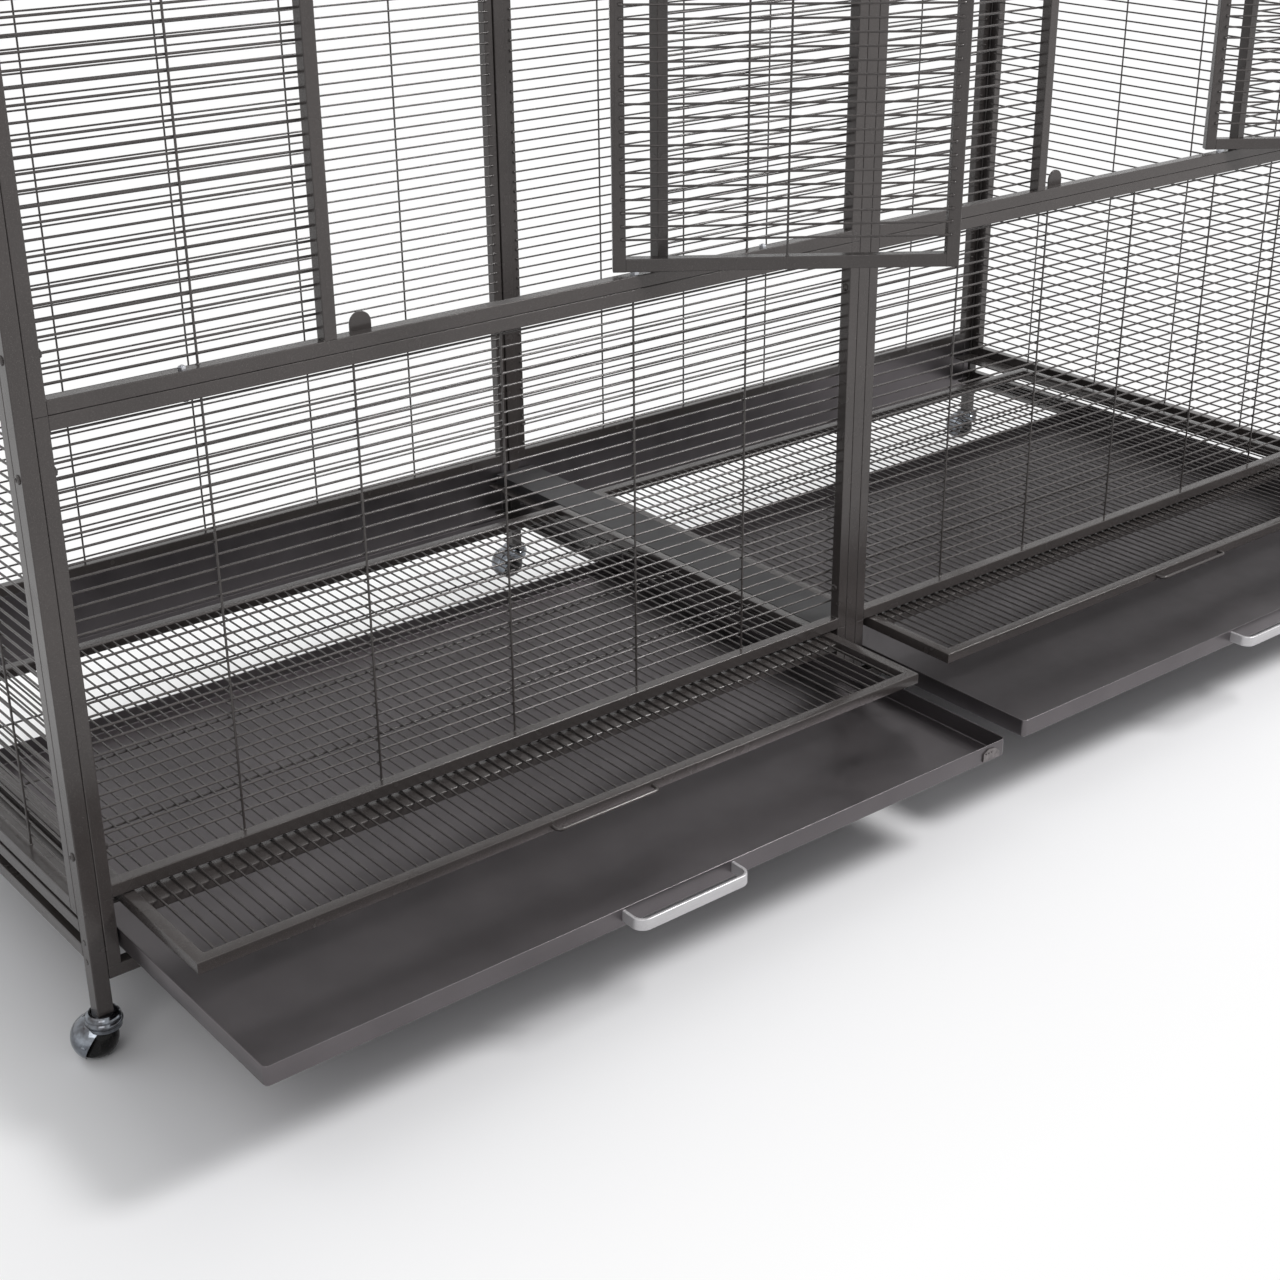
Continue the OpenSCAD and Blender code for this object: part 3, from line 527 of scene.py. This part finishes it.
# Weld beads: small uneven spheroids, each squeezed along three axes about its place. Their half sizes run
# along the rail, into the panel and up the wires
beadLook = dict(
    seed=41, rings=5, around=6, pole=0.02, spread=0.14,
    wire=(0.0023, 0.0016, 0.0016), wireBack=0.0008, brace=(0.0021, 0.0019, 0.0015),
    corner=(0.0011, 0.0012, 0.0013), cornerDepths=(0.0011, 0.0030),
)
beadDice = np.random.default_rng(beadLook["seed"])


def beadShape():
    tilt = np.linspace(0, math.pi, beadLook["rings"] + 2)
    radius = np.maximum(np.sin(tilt), beadLook["pole"])
    return turnedShape(np.stack((radius, -np.cos(tilt)), axis=-1), beadLook["around"])


def beadField(places, halfSize):
    places = np.asarray(places, float).reshape(-1, 3)
    matrices = np.tile(np.eye(4), (len(places), 1, 1))
    uneven = 1 + beadDice.uniform(-1, 1, (len(places), 3)) * beadLook["spread"]
    for axis in range(3):
        matrices[:, axis, axis] = halfSize[axis] * uneven[:, axis]
    matrices[:, :3, 3] = places
    return repeatShape(beadShape(), matrices)


# Beads on the ends of a panel's wires and braces. The panel lies in X and Z, with its inner side at +Y
def panelBeads(left, right, leftWires, rightWires, braces, low, high, lap=cage["wireLap"]):
    fields = []
    for edge, sign, wires in ((left, -1, leftWires), (right, 1, rightWires)):
        x = edge + sign * (lap - beadLook["wireBack"])
        fields.append(beadField([(x, cage["wireDepth"], z) for z in wires], beadLook["wire"]))
    for z in (low, high):
        fields.append(beadField([(x, cage["braceDepth"], z) for x in braces], beadLook["brace"]))
    return joinShapes(*fields)


# Runs of weld in the corners between rails and stiles, as small blobs one behind the other
def cornerBeads(xs, heights):
    places = [(x, y, z) for x in xs for z in heights for y in beadLook["cornerDepths"]]
    return beadField(places, beadLook["corner"])


def moveShape(shape, matrix):
    return repeatShape(shape, [np.array(matrix)])


# The braces of a bay that fall inside one of its panels
def bracesBetween(low, high):
    middle = cage["panelX"] + cage["panelW"] / 2
    places = [middle + offset for offset in cage["braceOffsets"]]
    return [x for x in places if low + cage["wireD"] < x < high - cage["wireD"]]


def makeFrontWelds(side, shift):
    tube, panelX, panelW = cage["tube"], cage["panelX"], cage["panelW"]
    left, right = panelX + tube, panelX + panelW - tube
    jambLeft, jambRight = cage["openLeft"] - tube, cage["openRight"] + tube
    sillTop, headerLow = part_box("sill_rails")[1].z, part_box("door_header_left")[0].z
    lowerBox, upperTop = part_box("lower_panel_left"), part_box("latch_side_panel_left")[1].z
    low, high, top = lowerBox[0].z + tube, lowerBox[1].z - tube, upperTop - tube
    lower, upper = wireHeights(low, high), wireHeights(sillTop, top)
    door = upper[upper < headerLow]
    header = wireHeights(headerLow + tube, top)
    fields = (
        panelBeads(left, right, lower, lower, bracesBetween(left, right), low, high),
        panelBeads(left, jambLeft, upper, door, bracesBetween(left, jambLeft), sillTop, top),
        panelBeads(jambRight, right, door, upper, bracesBetween(jambRight, right), sillTop, top),
        panelBeads(
            cage["openLeft"], cage["openRight"], header, header,
            bracesBetween(cage["openLeft"], cage["openRight"]), headerLow + tube, top,
        ),
        cornerBeads((left, right), (low, high, sillTop)),
        cornerBeads((jambLeft, jambRight), (sillTop,)),
    )
    makePiece(f"front_welds_{side}", moveShape(joinShapes(*fields), shift), "cage", "wire_coat")


def makeRearWelds(side, shift):
    tube = cage["tube"]
    left, right = cage["panelX"] + tube, cage["panelX"] + cage["panelW"] - tube
    low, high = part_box("rear_panel_left")
    low, high = low.z + tube, high.z - tube
    wires = wireHeights(low, high)
    rear = panelBeads(left, right, wires, wires, bracesBetween(left, right), low, high)
    back = Matrix.Translation((0, cage["depth"] + cage["post"], 0))
    place = shift @ back @ Matrix.Diagonal((1, -1, 1, 1))
    makePiece(f"rear_welds_{side}", moveShape(rear, place), "cage", "wire_coat")


# The ends are panels that run from front to back, with their inner side towards the middle of the cage
def makeSideWelds(side, inward):
    tube, box = cage["tube"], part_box(f"side_panel_{side}")
    low, high, depth = box[0].z + tube, box[1].z - tube, box[1].y - box[0].y
    step = (depth - 2 * tube - 2 * cage["sideBraceEdge"]) / (cage["sideBraces"] - 1)
    braces = [tube + cage["sideBraceEdge"] + n * step for n in range(cage["sideBraces"])]
    wires = wireHeights(low, high)
    beads = panelBeads(tube, depth - tube, wires, wires, braces, low, high)
    outer = box[0].x if inward > 0 else box[1].x
    turn = ((0, inward, 0, outer), (1, 0, 0, box[0].y), (0, 0, 1, 0), (0, 0, 0, 1))
    makePiece(f"side_welds_{side}", moveShape(beads, turn), "cage", "wire_coat")


# A roof panel lies flat, so its wires end on the inner sides of its frame
def makeRoofWelds(side):
    tube, box = cage["tube"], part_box(f"roof_panel_{side}")
    wires = wireHeights(tube, box[1].y - box[0].y - tube)
    beads = panelBeads(tube, box[1].x - box[0].x - tube, wires, wires, (), 0, 0, lap=0.0)
    turn = ((1, 0, 0, box[0].x), (0, 0, 1, box[0].y), (0, -1, 0, box[1].z + cage["wireD"]), (0, 0, 0, 1))
    makePiece(f"roof_welds_{side}", moveShape(beads, turn), "cage", "wire_coat")


# The door's beads are placed on the closed door, then turned with it about its hinge pins. Places are from
# the front left corner of the door's bay
doorLook = dict(left=0.302, width=0.330, proud=0.0004, hingeX=0.6115, hingeY=0.00585, turn=145.0)


def makeDoorWelds(side, shift):
    tube, width = cage["tube"], doorLook["width"]
    low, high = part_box(f"door_{side}")
    low, high = low.z + tube, high.z - tube
    wires = wireHeights(low, high)
    beads = panelBeads(tube, width - tube, wires, wires, (width / 2,), low, high)
    hinge = Vector((doorLook["hingeX"], doorLook["hingeY"], 0))
    place = (
        shift
        @ Matrix.Translation(hinge)
        @ Matrix.Rotation(math.radians(doorLook["turn"]), 4, "Z")
        @ Matrix.Translation(Vector((doorLook["left"], -doorLook["proud"], 0)) - hinge)
    )
    makePiece(f"door_welds_{side}", moveShape(beads, place), f"door_{side}", "wire_coat")


for bay, side in enumerate(sides):
    bayShift = Matrix.Translation((cornerLow.x + bay * cage["bay"], cornerLow.y, 0))
    makeFrontWelds(side, bayShift)
    makeRearWelds(side, bayShift)
    makeSideWelds(side, 1 if side == "left" else -1)
    makeRoofWelds(side)
    makeDoorWelds(side, bayShift)
print("welds on the panels and doors")


# Grille: square bars mitred at the corners, wires from front to back, a folded bar under their front part
# and thin cross wires further back, at whole steps from the front
grilleLook = dict(
    bar=0.012, edge=0.0010, bead=(0.0016, 0.0012, 0.0014),
    wire=0.0022, pitch=0.0125, drop=0.002, bite=0.0004,  # drop below the bars' top, bite into the bars
    foldInset=0.114, foldWide=0.028, foldThick=0.0012, foldEdge=0.0014, fitGap=0.00005,
    crossStep=0.128, crossings=(2, 3, 4),
)


# A closed profile of (inward, upward) points carried round a rectangle with mitred corners
def mitredFrame(low, high, profile):
    profile = np.concatenate((profile, profile[:1]))
    middle, half = (low + high) / 2, (high - low) / 2
    points = np.empty((len(profile), 4, 3))
    for corner, (signX, signY) in enumerate(((-1, -1), (1, -1), (1, 1), (-1, 1))):
        points[:, corner, 0] = middle.x + signX * (half.x - profile[:, 0])
        points[:, corner, 1] = middle.y + signY * (half.y - profile[:, 0])
        points[:, corner, 2] = low.z + profile[:, 1]
    return gridShape(points, capped=False)


# Straight wires of one length: each starts at its place and runs along X or Y
def wireRow(starts, axis, length, diameter, around=10):
    unit = turnedShape(((0.5, 0.0), (0.5, 1.0)), around)
    matrices = np.zeros((len(starts), 4, 4))
    for number, place in enumerate(starts):
        matrices[number, axis, 2] = length
        matrices[number, 1 - axis, 0] = matrices[number, 2, 1] = diameter
        matrices[number, :3, 3] = place
    return repeatShape(unit, matrices)


# Outline of the folded bar, with its front at the left: over the rounded top, down the rear and back inside
def foldProfile(wide, tall, thick, edge, steps=5):
    quarter = np.linspace(0, math.pi / 2, steps)
    half, inside, roof = wide / 2, wide / 2 - thick, tall - thick
    front = np.stack((edge - half - edge * np.cos(quarter), tall - edge + edge * np.sin(quarter)), axis=-1)
    rear = front[::-1] * (-1, 1)
    under = ((half, 0), (inside, 0), (inside, roof), (-inside, roof), (-inside, 0), (-half, 0))
    return np.concatenate((front, rear, under))


def makeGrille(side):
    look, (low, high) = grilleLook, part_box(f"grille_{side}")
    bar, wire, bite = look["bar"], look["wire"], look["bite"]
    square = roundedOutline(bar, bar, look["edge"], 3) + bar / 2
    innerX, innerY = high.x - low.x - 2 * bar, high.y - low.y - 2 * bar
    count = math.floor(innerX / look["pitch"])
    firstX = low.x + bar + (innerX - (count - 1) * look["pitch"]) / 2
    wireX, wireZ = firstX + np.arange(count) * look["pitch"], low.z + bar - look["drop"]
    running = wireRow([(x, low.y + bar - bite, wireZ) for x in wireX], 1, innerY + 2 * bite, wire)
    crossY = [low.y + n * look["crossStep"] for n in look["crossings"]]
    crossing = wireRow([(low.x + bar - bite, y, wireZ - wire) for y in crossY], 0, innerX + 2 * bite, wire)
    foldTop = wireZ - wire / 2 - look["fitGap"] - low.z
    foldY = low.y + look["foldInset"] + look["foldWide"] / 2
    foldPath = [(x, foldY, low.z) for x in (low.x + bar, high.x - bar)]
    foldLine = foldProfile(look["foldWide"], foldTop, look["foldThick"], look["foldEdge"])
    fold = carriedShape(foldPath, foldLine)
    ends = [(x, y, wireZ) for y in (low.y + bar, high.y - bar) for x in wireX]
    beads = beadField(ends, look["bead"])
    deck = joinShapes(mitredFrame(low, high, square), running, crossing, fold, beads)
    piece = makePiece(f"grille_deck_{side}", deck, f"grille_{side}", "wire_coat", sharp=50.0)
    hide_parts(f"grille_{side}")


for side in sides:
    makeGrille(side)
print("grilles welded")


# Fixings: low heads and nuts in the cage's own paint through posts and stiles, plated nuts on the sill
screwLook = dict(
    head=0.0042, headTall=0.0016, nut=0.0043, nutTall=0.0030, stub=0.0022, stubTall=0.0040,
    rivet=0.0024, rivetTall=0.0005, rivetRises=(0.008, 0.028), inset=0.048, longPanel=0.6,
)
seamLook = dict(
    head=0.0036, headTall=0.0018, nut=0.0037, nutTall=0.0026, stub=0.0018, stubTall=0.0036, along=0.130,
)

# Profiles of the fixings as shares of (radius, height), and the number of sides that they are turned with
fixingShares = dict(
    head=((0.05, 0.45), (0.40, 0.45), (0.46, 1.0), (0.75, 0.92), (0.94, 0.55), (1.0, 0.0)),
    nut=((1.0, 0.0), (1.0, 0.85), (0.86, 1.0)),
    stub=((1.0, 0.0), (1.0, 0.92), (0.8, 1.0)),
    rivet=((0.3, 1.0), (1.0, 0.0)),
)
fixingSides = dict(head=20, nut=6, stub=14, rivet=16)


def fixingShape(look, kind, upward=1):
    size = look[kind], upward * look[kind + "Tall"]
    return turnedShape(np.array(fixingShares[kind]) * size, fixingSides[kind])


# A nut with a short stub of thread in it
def nutShape(look):
    return joinShapes(fixingShape(look, "nut"), fixingShape(look, "stub"))


# Copies of a shape that points up, which here point along X, to the left or right
def placedAlongX(shape, sign, places):
    turn = np.array(((0, 0, sign, 0), (0, 1, 0, 0), (1, 0, 0, 0), (0, 0, 0, 1)), float)
    matrices = np.tile(turn, (len(places), 1, 1))
    matrices[:, :3, 3] = places
    return repeatShape(shape, matrices)


# Two screws for a panel, near its ends, and a third one between them where the panel is long
def screwHeights(panel):
    (low, high), inset = [corner.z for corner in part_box(panel)], screwLook["inset"]
    middle = [(low + high) / 2] if high - low > screwLook["longPanel"] else []
    return [low + inset] + middle + [high - inset]


def makeScrews():
    tube, post, gap, bay = cage["tube"], cage["post"], cage["panelX"] - cage["post"], cage["bay"]
    frontZ = screwHeights("lower_panel_left") + screwHeights("latch_side_panel_left")
    rows = [(post / 2, z) for z in frontZ]
    rows += [(cage["depth"] + post / 2, z) for z in screwHeights("rear_panel_left")]
    width, grip = 2 * bay + post, post + gap + tube
    heads = [(0, -1), (bay - gap - tube, -1), (width, 1)]
    nuts = [(grip, 1), (bay + grip, 1), (width - grip, -1)]
    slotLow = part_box("base_front_stiles")[0].z
    rivets = [(post / 2, slotLow + rise) for rise in screwLook["rivetRises"]]
    head, nut, rivet = fixingShape(screwLook, "head"), nutShape(screwLook), fixingShape(screwLook, "rivet")
    shapes = []
    for shape, ends, spots in ((head, heads, rows), (nut, nuts, rows), (rivet, heads + nuts, rivets)):
        shapes += [placedAlongX(shape, sign, [(x, y, z) for y, z in spots]) for x, sign in ends]
    shift = Matrix.Translation((cornerLow.x, cornerLow.y, 0))
    screws = makePiece("stile_screws", moveShape(joinShapes(*shapes), shift), "cage", "wire_coat")
    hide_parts("panel_bolts")


def makeSeamNuts():
    tube, panelX, along = cage["tube"], cage["panelX"], seamLook["along"]
    sillTop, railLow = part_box("sill_rails")[1].z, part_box("lower_panel_left")[1].z - tube
    ends = panelX + along, panelX + cage["panelW"] - along
    xs = [bay * cage["bay"] + x for bay in (0, 1) for x in ends]
    nut, head = nutShape(seamLook), fixingShape(seamLook, "head", -1)
    shapes = [moveShape(nut, Matrix.Translation((x, tube / 2, sillTop))) for x in xs]
    shapes += [moveShape(head, Matrix.Translation((x, tube / 2, railLow))) for x in xs]
    shift = Matrix.Translation((cornerLow.x, cornerLow.y, 0))
    makePiece("seam_nuts", moveShape(joinShapes(*shapes), shift), "cage", "zinc")


makeScrews()
makeSeamNuts()
print("screws and nuts in place")


# Folded tray: a flat floor, bent edges, upright walls and a rounded rim, on a rectangle with round corners
trayLook = dict(wall=0.0012, corner=0.005, cornerSteps=8, bend=0.0024, bendSteps=6, rimSteps=7)


# Points of (inset, height) go up the outside, over the rim and down the inside. Each is a ring of the tray
def trayShape(low, high):
    wall, bend = trayLook["wall"], trayLook["bend"]
    width, depth, height = high.x - low.x, high.y - low.y, high.z - low.z
    quarter = np.linspace(0, math.pi / 2, trayLook["bendSteps"])
    outer = [(bend - bend * math.sin(a), bend - bend * math.cos(a)) for a in quarter]
    half, inside = wall / 2, bend - wall
    rim = np.linspace(math.pi, 0, trayLook["rimSteps"])
    top = [(half + half * math.cos(a), height - half + half * math.sin(a)) for a in rim]
    inner = [(bend - inside * math.cos(a), bend - inside * math.sin(a)) for a in quarter]
    rings = []
    for inset, rise in outer + top + inner:
        size = width - 2 * inset, depth - 2 * inset
        outline = roundedOutline(*size, trayLook["corner"] - inset, trayLook["cornerSteps"])
        rings.append(np.column_stack((outline, np.full(len(outline), rise))))
    return gridShape(np.array(rings) + ((low.x + high.x) / 2, (low.y + high.y) / 2, low.z))


for side in sides:
    tray = makePiece(f"tray_pan_{side}", trayShape(*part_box(f"tray_{side}")), f"tray_{side}", "sheet_coat")
    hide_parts(f"tray_{side}")
print("trays folded")


# Strap handles are flat bars with rounded edges, and wire handles are round and end inside the grille's bar
strapLook = dict(thick=0.0035, edge=0.0011, edgeSteps=4, bend=0.0103, bury=0.0)
gripLook = dict(thick=0.004, around=16, bend=0.0055, bury=0.0015)


# Path of a handle: out, round a bend, across, round and back in, at one height
def handlePath(low, high, look, steps=9):
    half, bend, quarter = look["thick"] / 2, look["bend"], np.linspace(0, math.pi / 2, steps)
    left, right, root = low.x + half, high.x - half, high.y + look["bury"]
    across, front = bend * (1 - np.cos(quarter)), low.y + half + bend * (1 - np.sin(quarter))
    x = np.concatenate(([left], left + across, (right - across)[::-1], [right]))
    y = np.concatenate(([root], front, front[::-1], [root]))
    return np.column_stack((x, y, np.full(len(x), (low.z + high.z) / 2)))


def makeStrap(side):
    low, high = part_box(f"tray_handle_{side}")
    size = strapLook["thick"], high.z - low.z
    profile = roundedOutline(*size, strapLook["edge"], strapLook["edgeSteps"])
    shape = carriedShape(handlePath(low, high, strapLook), profile)
    strap = makePiece(f"strap_{side}", shape, f"tray_{side}", "handle_aluminium", sharp=50.0)
    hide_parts(f"tray_handle_{side}")


def makeGrip(side):
    low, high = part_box(f"grille_handle_{side}")
    angles = np.linspace(0, 2 * math.pi, gripLook["around"], endpoint=False)
    profile = gripLook["thick"] / 2 * np.stack((np.cos(angles), np.sin(angles)), axis=-1)
    shape = carriedShape(handlePath(low, high, gripLook), profile)
    grip = makePiece(f"grip_{side}", shape, f"grille_{side}", "wire_coat", sharp=50.0)
    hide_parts(f"grille_handle_{side}")


for side in sides:
    makeStrap(side)
    makeGrip(side)
print("handles bent")


# Caster hood, upright at its swivel axis with +X where it trails: a part sphere of sheet round the ball,
# turned about an axis that tilts to the rear, under a rolled ring with a skirt, and the axle's two ends
hoodLook = dict(
    ball=0.0203, inner=0.0209, outer=0.0222, trail=0.0102, turn=125.0,  # radii, and where the ball trails
    tilt=64.0, below=0.0045, clear=0.0035,  # the shell past its own equator, and its room above the floor
    pole=0.01, rows=22, around=48,
    ring=0.017, ringTall=0.0056, ringOver=0.0001, ringSteps=9, hole=0.0002, skirt=0.0034, step=0.0012,
    stem=0.004, stemTall=0.0042,
    axle=0.0025, axleOver=0.0007, axleTip=0.6, axleChamfer=0.0006, axleSides=24,
)


# The shell reaches from its pole to a level plane above the floor, or to its own rim where that comes first
def hoodShell(look):
    lean, rows = math.radians(look["tilt"]), look["rows"]
    turn = np.linspace(0, 2 * math.pi, look["around"], endpoint=False)
    drop = (look["ball"] - look["clear"]) / look["outer"]
    upright, forward = math.cos(lean), math.sin(lean) * np.cos(turn)
    span = np.hypot(upright, forward)
    level = np.arccos(np.clip(-drop / span, -1, 1)) - np.arctan2(forward, upright)
    reach = np.minimum(math.acos(-look["below"] / look["outer"]), np.where(span > drop, level, math.pi))
    share = np.linspace(look["pole"], 1, rows)
    tilt = np.concatenate((share, share[::-1]))[:, None] * reach
    radius = np.repeat((look["outer"], look["inner"]), rows)[:, None, None]
    away = np.sin(tilt)
    points = radius * np.stack((away * np.cos(turn), away * np.sin(turn), np.cos(tilt)), axis=-1)
    place = Matrix.Translation((look["trail"], 0, look["ball"])) @ Matrix.Rotation(lean, 4, "Y")
    return moveShape(gridShape(points), place)


# The ring's underside is raised, point by point, to clear the ball
def hoodRing(look):
    top, tall, steps = look["ball"] + look["outer"] + look["ringOver"], look["ringTall"], look["ringSteps"]
    low, edge, inside = top - tall, look["ring"] - look["step"], look["ring"] - 2 * look["step"]
    under = [(r, low) for r in np.linspace(look["hole"], inside, steps)]
    skirt = [(inside, low - look["skirt"]), (edge, low - look["skirt"]), (edge, low)]
    bulge, share = tall / 4, np.linspace(0, 1, steps)
    rim = [(look["ring"] - bulge + bulge * math.sin(math.pi * s), low + tall * s) for s in share]
    stem = [(look["stem"], top), (look["stem"], top + look["stemTall"])]
    points, faces = turnedShape(under + skirt + rim + stem, look["around"])
    reach = look["inner"] ** 2 - (points[:, 0] - look["trail"]) ** 2 - points[:, 1] ** 2
    clear = look["ball"] + np.sqrt(np.maximum(reach, 0))
    raised = (reach > 0) & (points[:, 2] < clear)
    points[:, 2] = np.where(raised, clear, points[:, 2])
    return points, faces


# The axle lies across the shell, with a chamfer at each end
def hoodAxle(look):
    radius, half = look["axle"], look["outer"] + look["axleOver"]
    tip, neck = look["axleTip"] * radius, half - look["axleChamfer"]
    pin = turnedShape(((tip, -half), (radius, -neck), (radius, neck), (tip, half)), look["axleSides"])
    place = Matrix.Translation((look["trail"], 0, look["ball"])) @ Matrix.Rotation(math.pi / 2, 4, "X")
    return moveShape(pin, place)


def makeHood(column, row):
    look, name = hoodLook, f"{('front', 'rear')[row]}_{columns[column]}"
    middle = cage["post"] / 2
    swivelX = cornerLow.x + column * cage["bay"] + middle
    swivelY = cornerLow.y + row * cage["depth"] + middle
    place = Matrix.Translation((swivelX, swivelY, 0)) @ Matrix.Rotation(math.radians(look["turn"]), 4, "Z")
    shape = moveShape(joinShapes(hoodShell(look), hoodRing(look), hoodAxle(look)), place)
    hood = makePiece(f"hood_{name}", shape, f"caster_{name}", "caster_chrome", sharp=40.0)
    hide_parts(f"caster_hood_{name}")


for column in range(3):
    for row in range(2):
        makeHood(column, row)
print("caster hoods turned")


# 1 for a ray that comes from the camera, directly or by way of metal or glass, and otherwise 0
def seenNode(tree):
    path = addNode(tree, "ShaderNodeLightPath")
    seen = mathNode(tree, "MAXIMUM", path.outputs["Is Camera Ray"], path.outputs["Is Glossy Ray"])
    return mathNode(tree, "MAXIMUM", seen, path.outputs["Is Transmission Ray"])


def mixSurface(tree, factor, first, second, result):
    mix = addNode(tree, "ShaderNodeMixShader")
    for slot, value in enumerate((factor, first.outputs[0], second.outputs[0])):
        tree.links.new(value, mix.inputs[slot])
    tree.links.new(mix.outputs[0], tree.nodes[result].inputs["Surface"])


# Pale floor: by the cage it is a plain matt surface that keeps the shadow, and further off it is plain white.
# The white comes with the distance from the posts' rectangle, its long sides moved forward by front and rear
floorLook = dict(
    size=24.0, colour=(0.92, 0.915, 0.925, 1.0), roughness=0.7, specular=0.2,
    smudgeNoise=(1.3, 3.0), smudge=0.97,
    near=0.0, far=0.42, front=0.20, rear=0.30,  # it turns white from near to far
)


def makeFloor():
    half = floorLook["size"] / 2
    mesh = bpy.data.meshes.new("floor")
    corners = [(x * half, y * half, 0) for x, y in ((-1, -1), (1, -1), (1, 1), (-1, 1))]
    mesh.from_pydata(corners, [], [(0, 1, 2, 3)])
    floor = bpy.data.objects.new("floor", mesh)
    bpy.context.scene.collection.objects.link(floor)
    material, tree, shader = newMaterial(
        "paleFloor", Roughness=floorLook["roughness"], Specular_IOR_Level=floorLook["specular"],
    )
    place = addNode(tree, "ShaderNodeTexCoord").outputs["Object"]
    smudge = rangeNode(tree, noiseNode(tree, place, *floorLook["smudgeNoise"]), *noiseBand)
    shade = tuple(floorLook["smudge"] * c for c in floorLook["colour"][:3]) + (1.0,)
    tree.links.new(mixColour(tree, smudge, shade, floorLook["colour"]), shader.inputs["Base Color"])
    glow = setInputs(addNode(tree, "ShaderNodeEmission"), Color=(1, 1, 1, 1), Strength=1.0)
    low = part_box("post_front_left")[0] - Vector((0, floorLook["front"], 0))
    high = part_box("post_rear_right")[1] - Vector((0, floorLook["rear"], 0))
    middle, reach = (low + high) / 2, (high - low) / 2
    offset = vectorNode(tree, "ABSOLUTE", vectorNode(tree, "SUBTRACT", place, (middle.x, middle.y, 0)))
    beyond = vectorNode(tree, "SUBTRACT", offset, (reach.x, reach.y, 0))
    outside = vectorNode(tree, "MAXIMUM", beyond, (0, 0, 0))
    distance = addNode(tree, "ShaderNodeVectorMath", operation="LENGTH")
    tree.links.new(outside, distance.inputs[0])
    away = rangeNode(tree, distance.outputs["Value"], floorLook["near"], floorLook["far"])
    mixSurface(tree, mathNode(tree, "MULTIPLY", seenNode(tree), away), shader, glow, "Material Output")
    mesh.materials.append(material)


worldLook = dict(colour=(0.96, 0.98, 1.0, 1.0), strength=0.37)


def makeWorld():
    world = bpy.data.worlds.new("studio")
    world.use_nodes = True
    bpy.context.scene.world = world
    tree = world.node_tree
    room = tree.nodes["Background"]
    setInputs(room, Color=worldLook["colour"], Strength=worldLook["strength"])
    white = setInputs(addNode(tree, "ShaderNodeBackground"), Color=(1, 1, 1, 1), Strength=1.0)
    mixSurface(tree, seenNode(tree), room, white, "World Output")


# Soft boxes: name, place, aim, width, height, power
softBoxes = (
    ("key", (1.8, -2.1, 2.9), (0.0, -0.1, 0.3), 0.9, 0.9, 108.0),
    ("over", (-1.6, 0.9, 3.2), (0.0, 0.0, 0.4), 3.0, 2.4, 14.0),
    ("front", (-2.6, -2.2, 2.2), (-0.6, 0.0, 0.3), 1.8, 1.8, 24.0),
)


def makeLights():
    for name, place, aim, width, height, power in softBoxes:
        data = bpy.data.lights.new(name, "AREA")
        data.shape, data.size, data.size_y, data.energy = "RECTANGLE", width, height, power
        lamp = bpy.data.objects.new(name, data)
        lamp.location = place
        lamp.rotation_euler = (Vector(aim) - Vector(place)).to_track_quat("-Z", "Y").to_euler()
        bpy.context.scene.collection.objects.link(lamp)


makeFloor()
makeWorld()
makeLights()
bpy.context.scene.view_settings.view_transform = "Standard"
print("floor and lights ready")
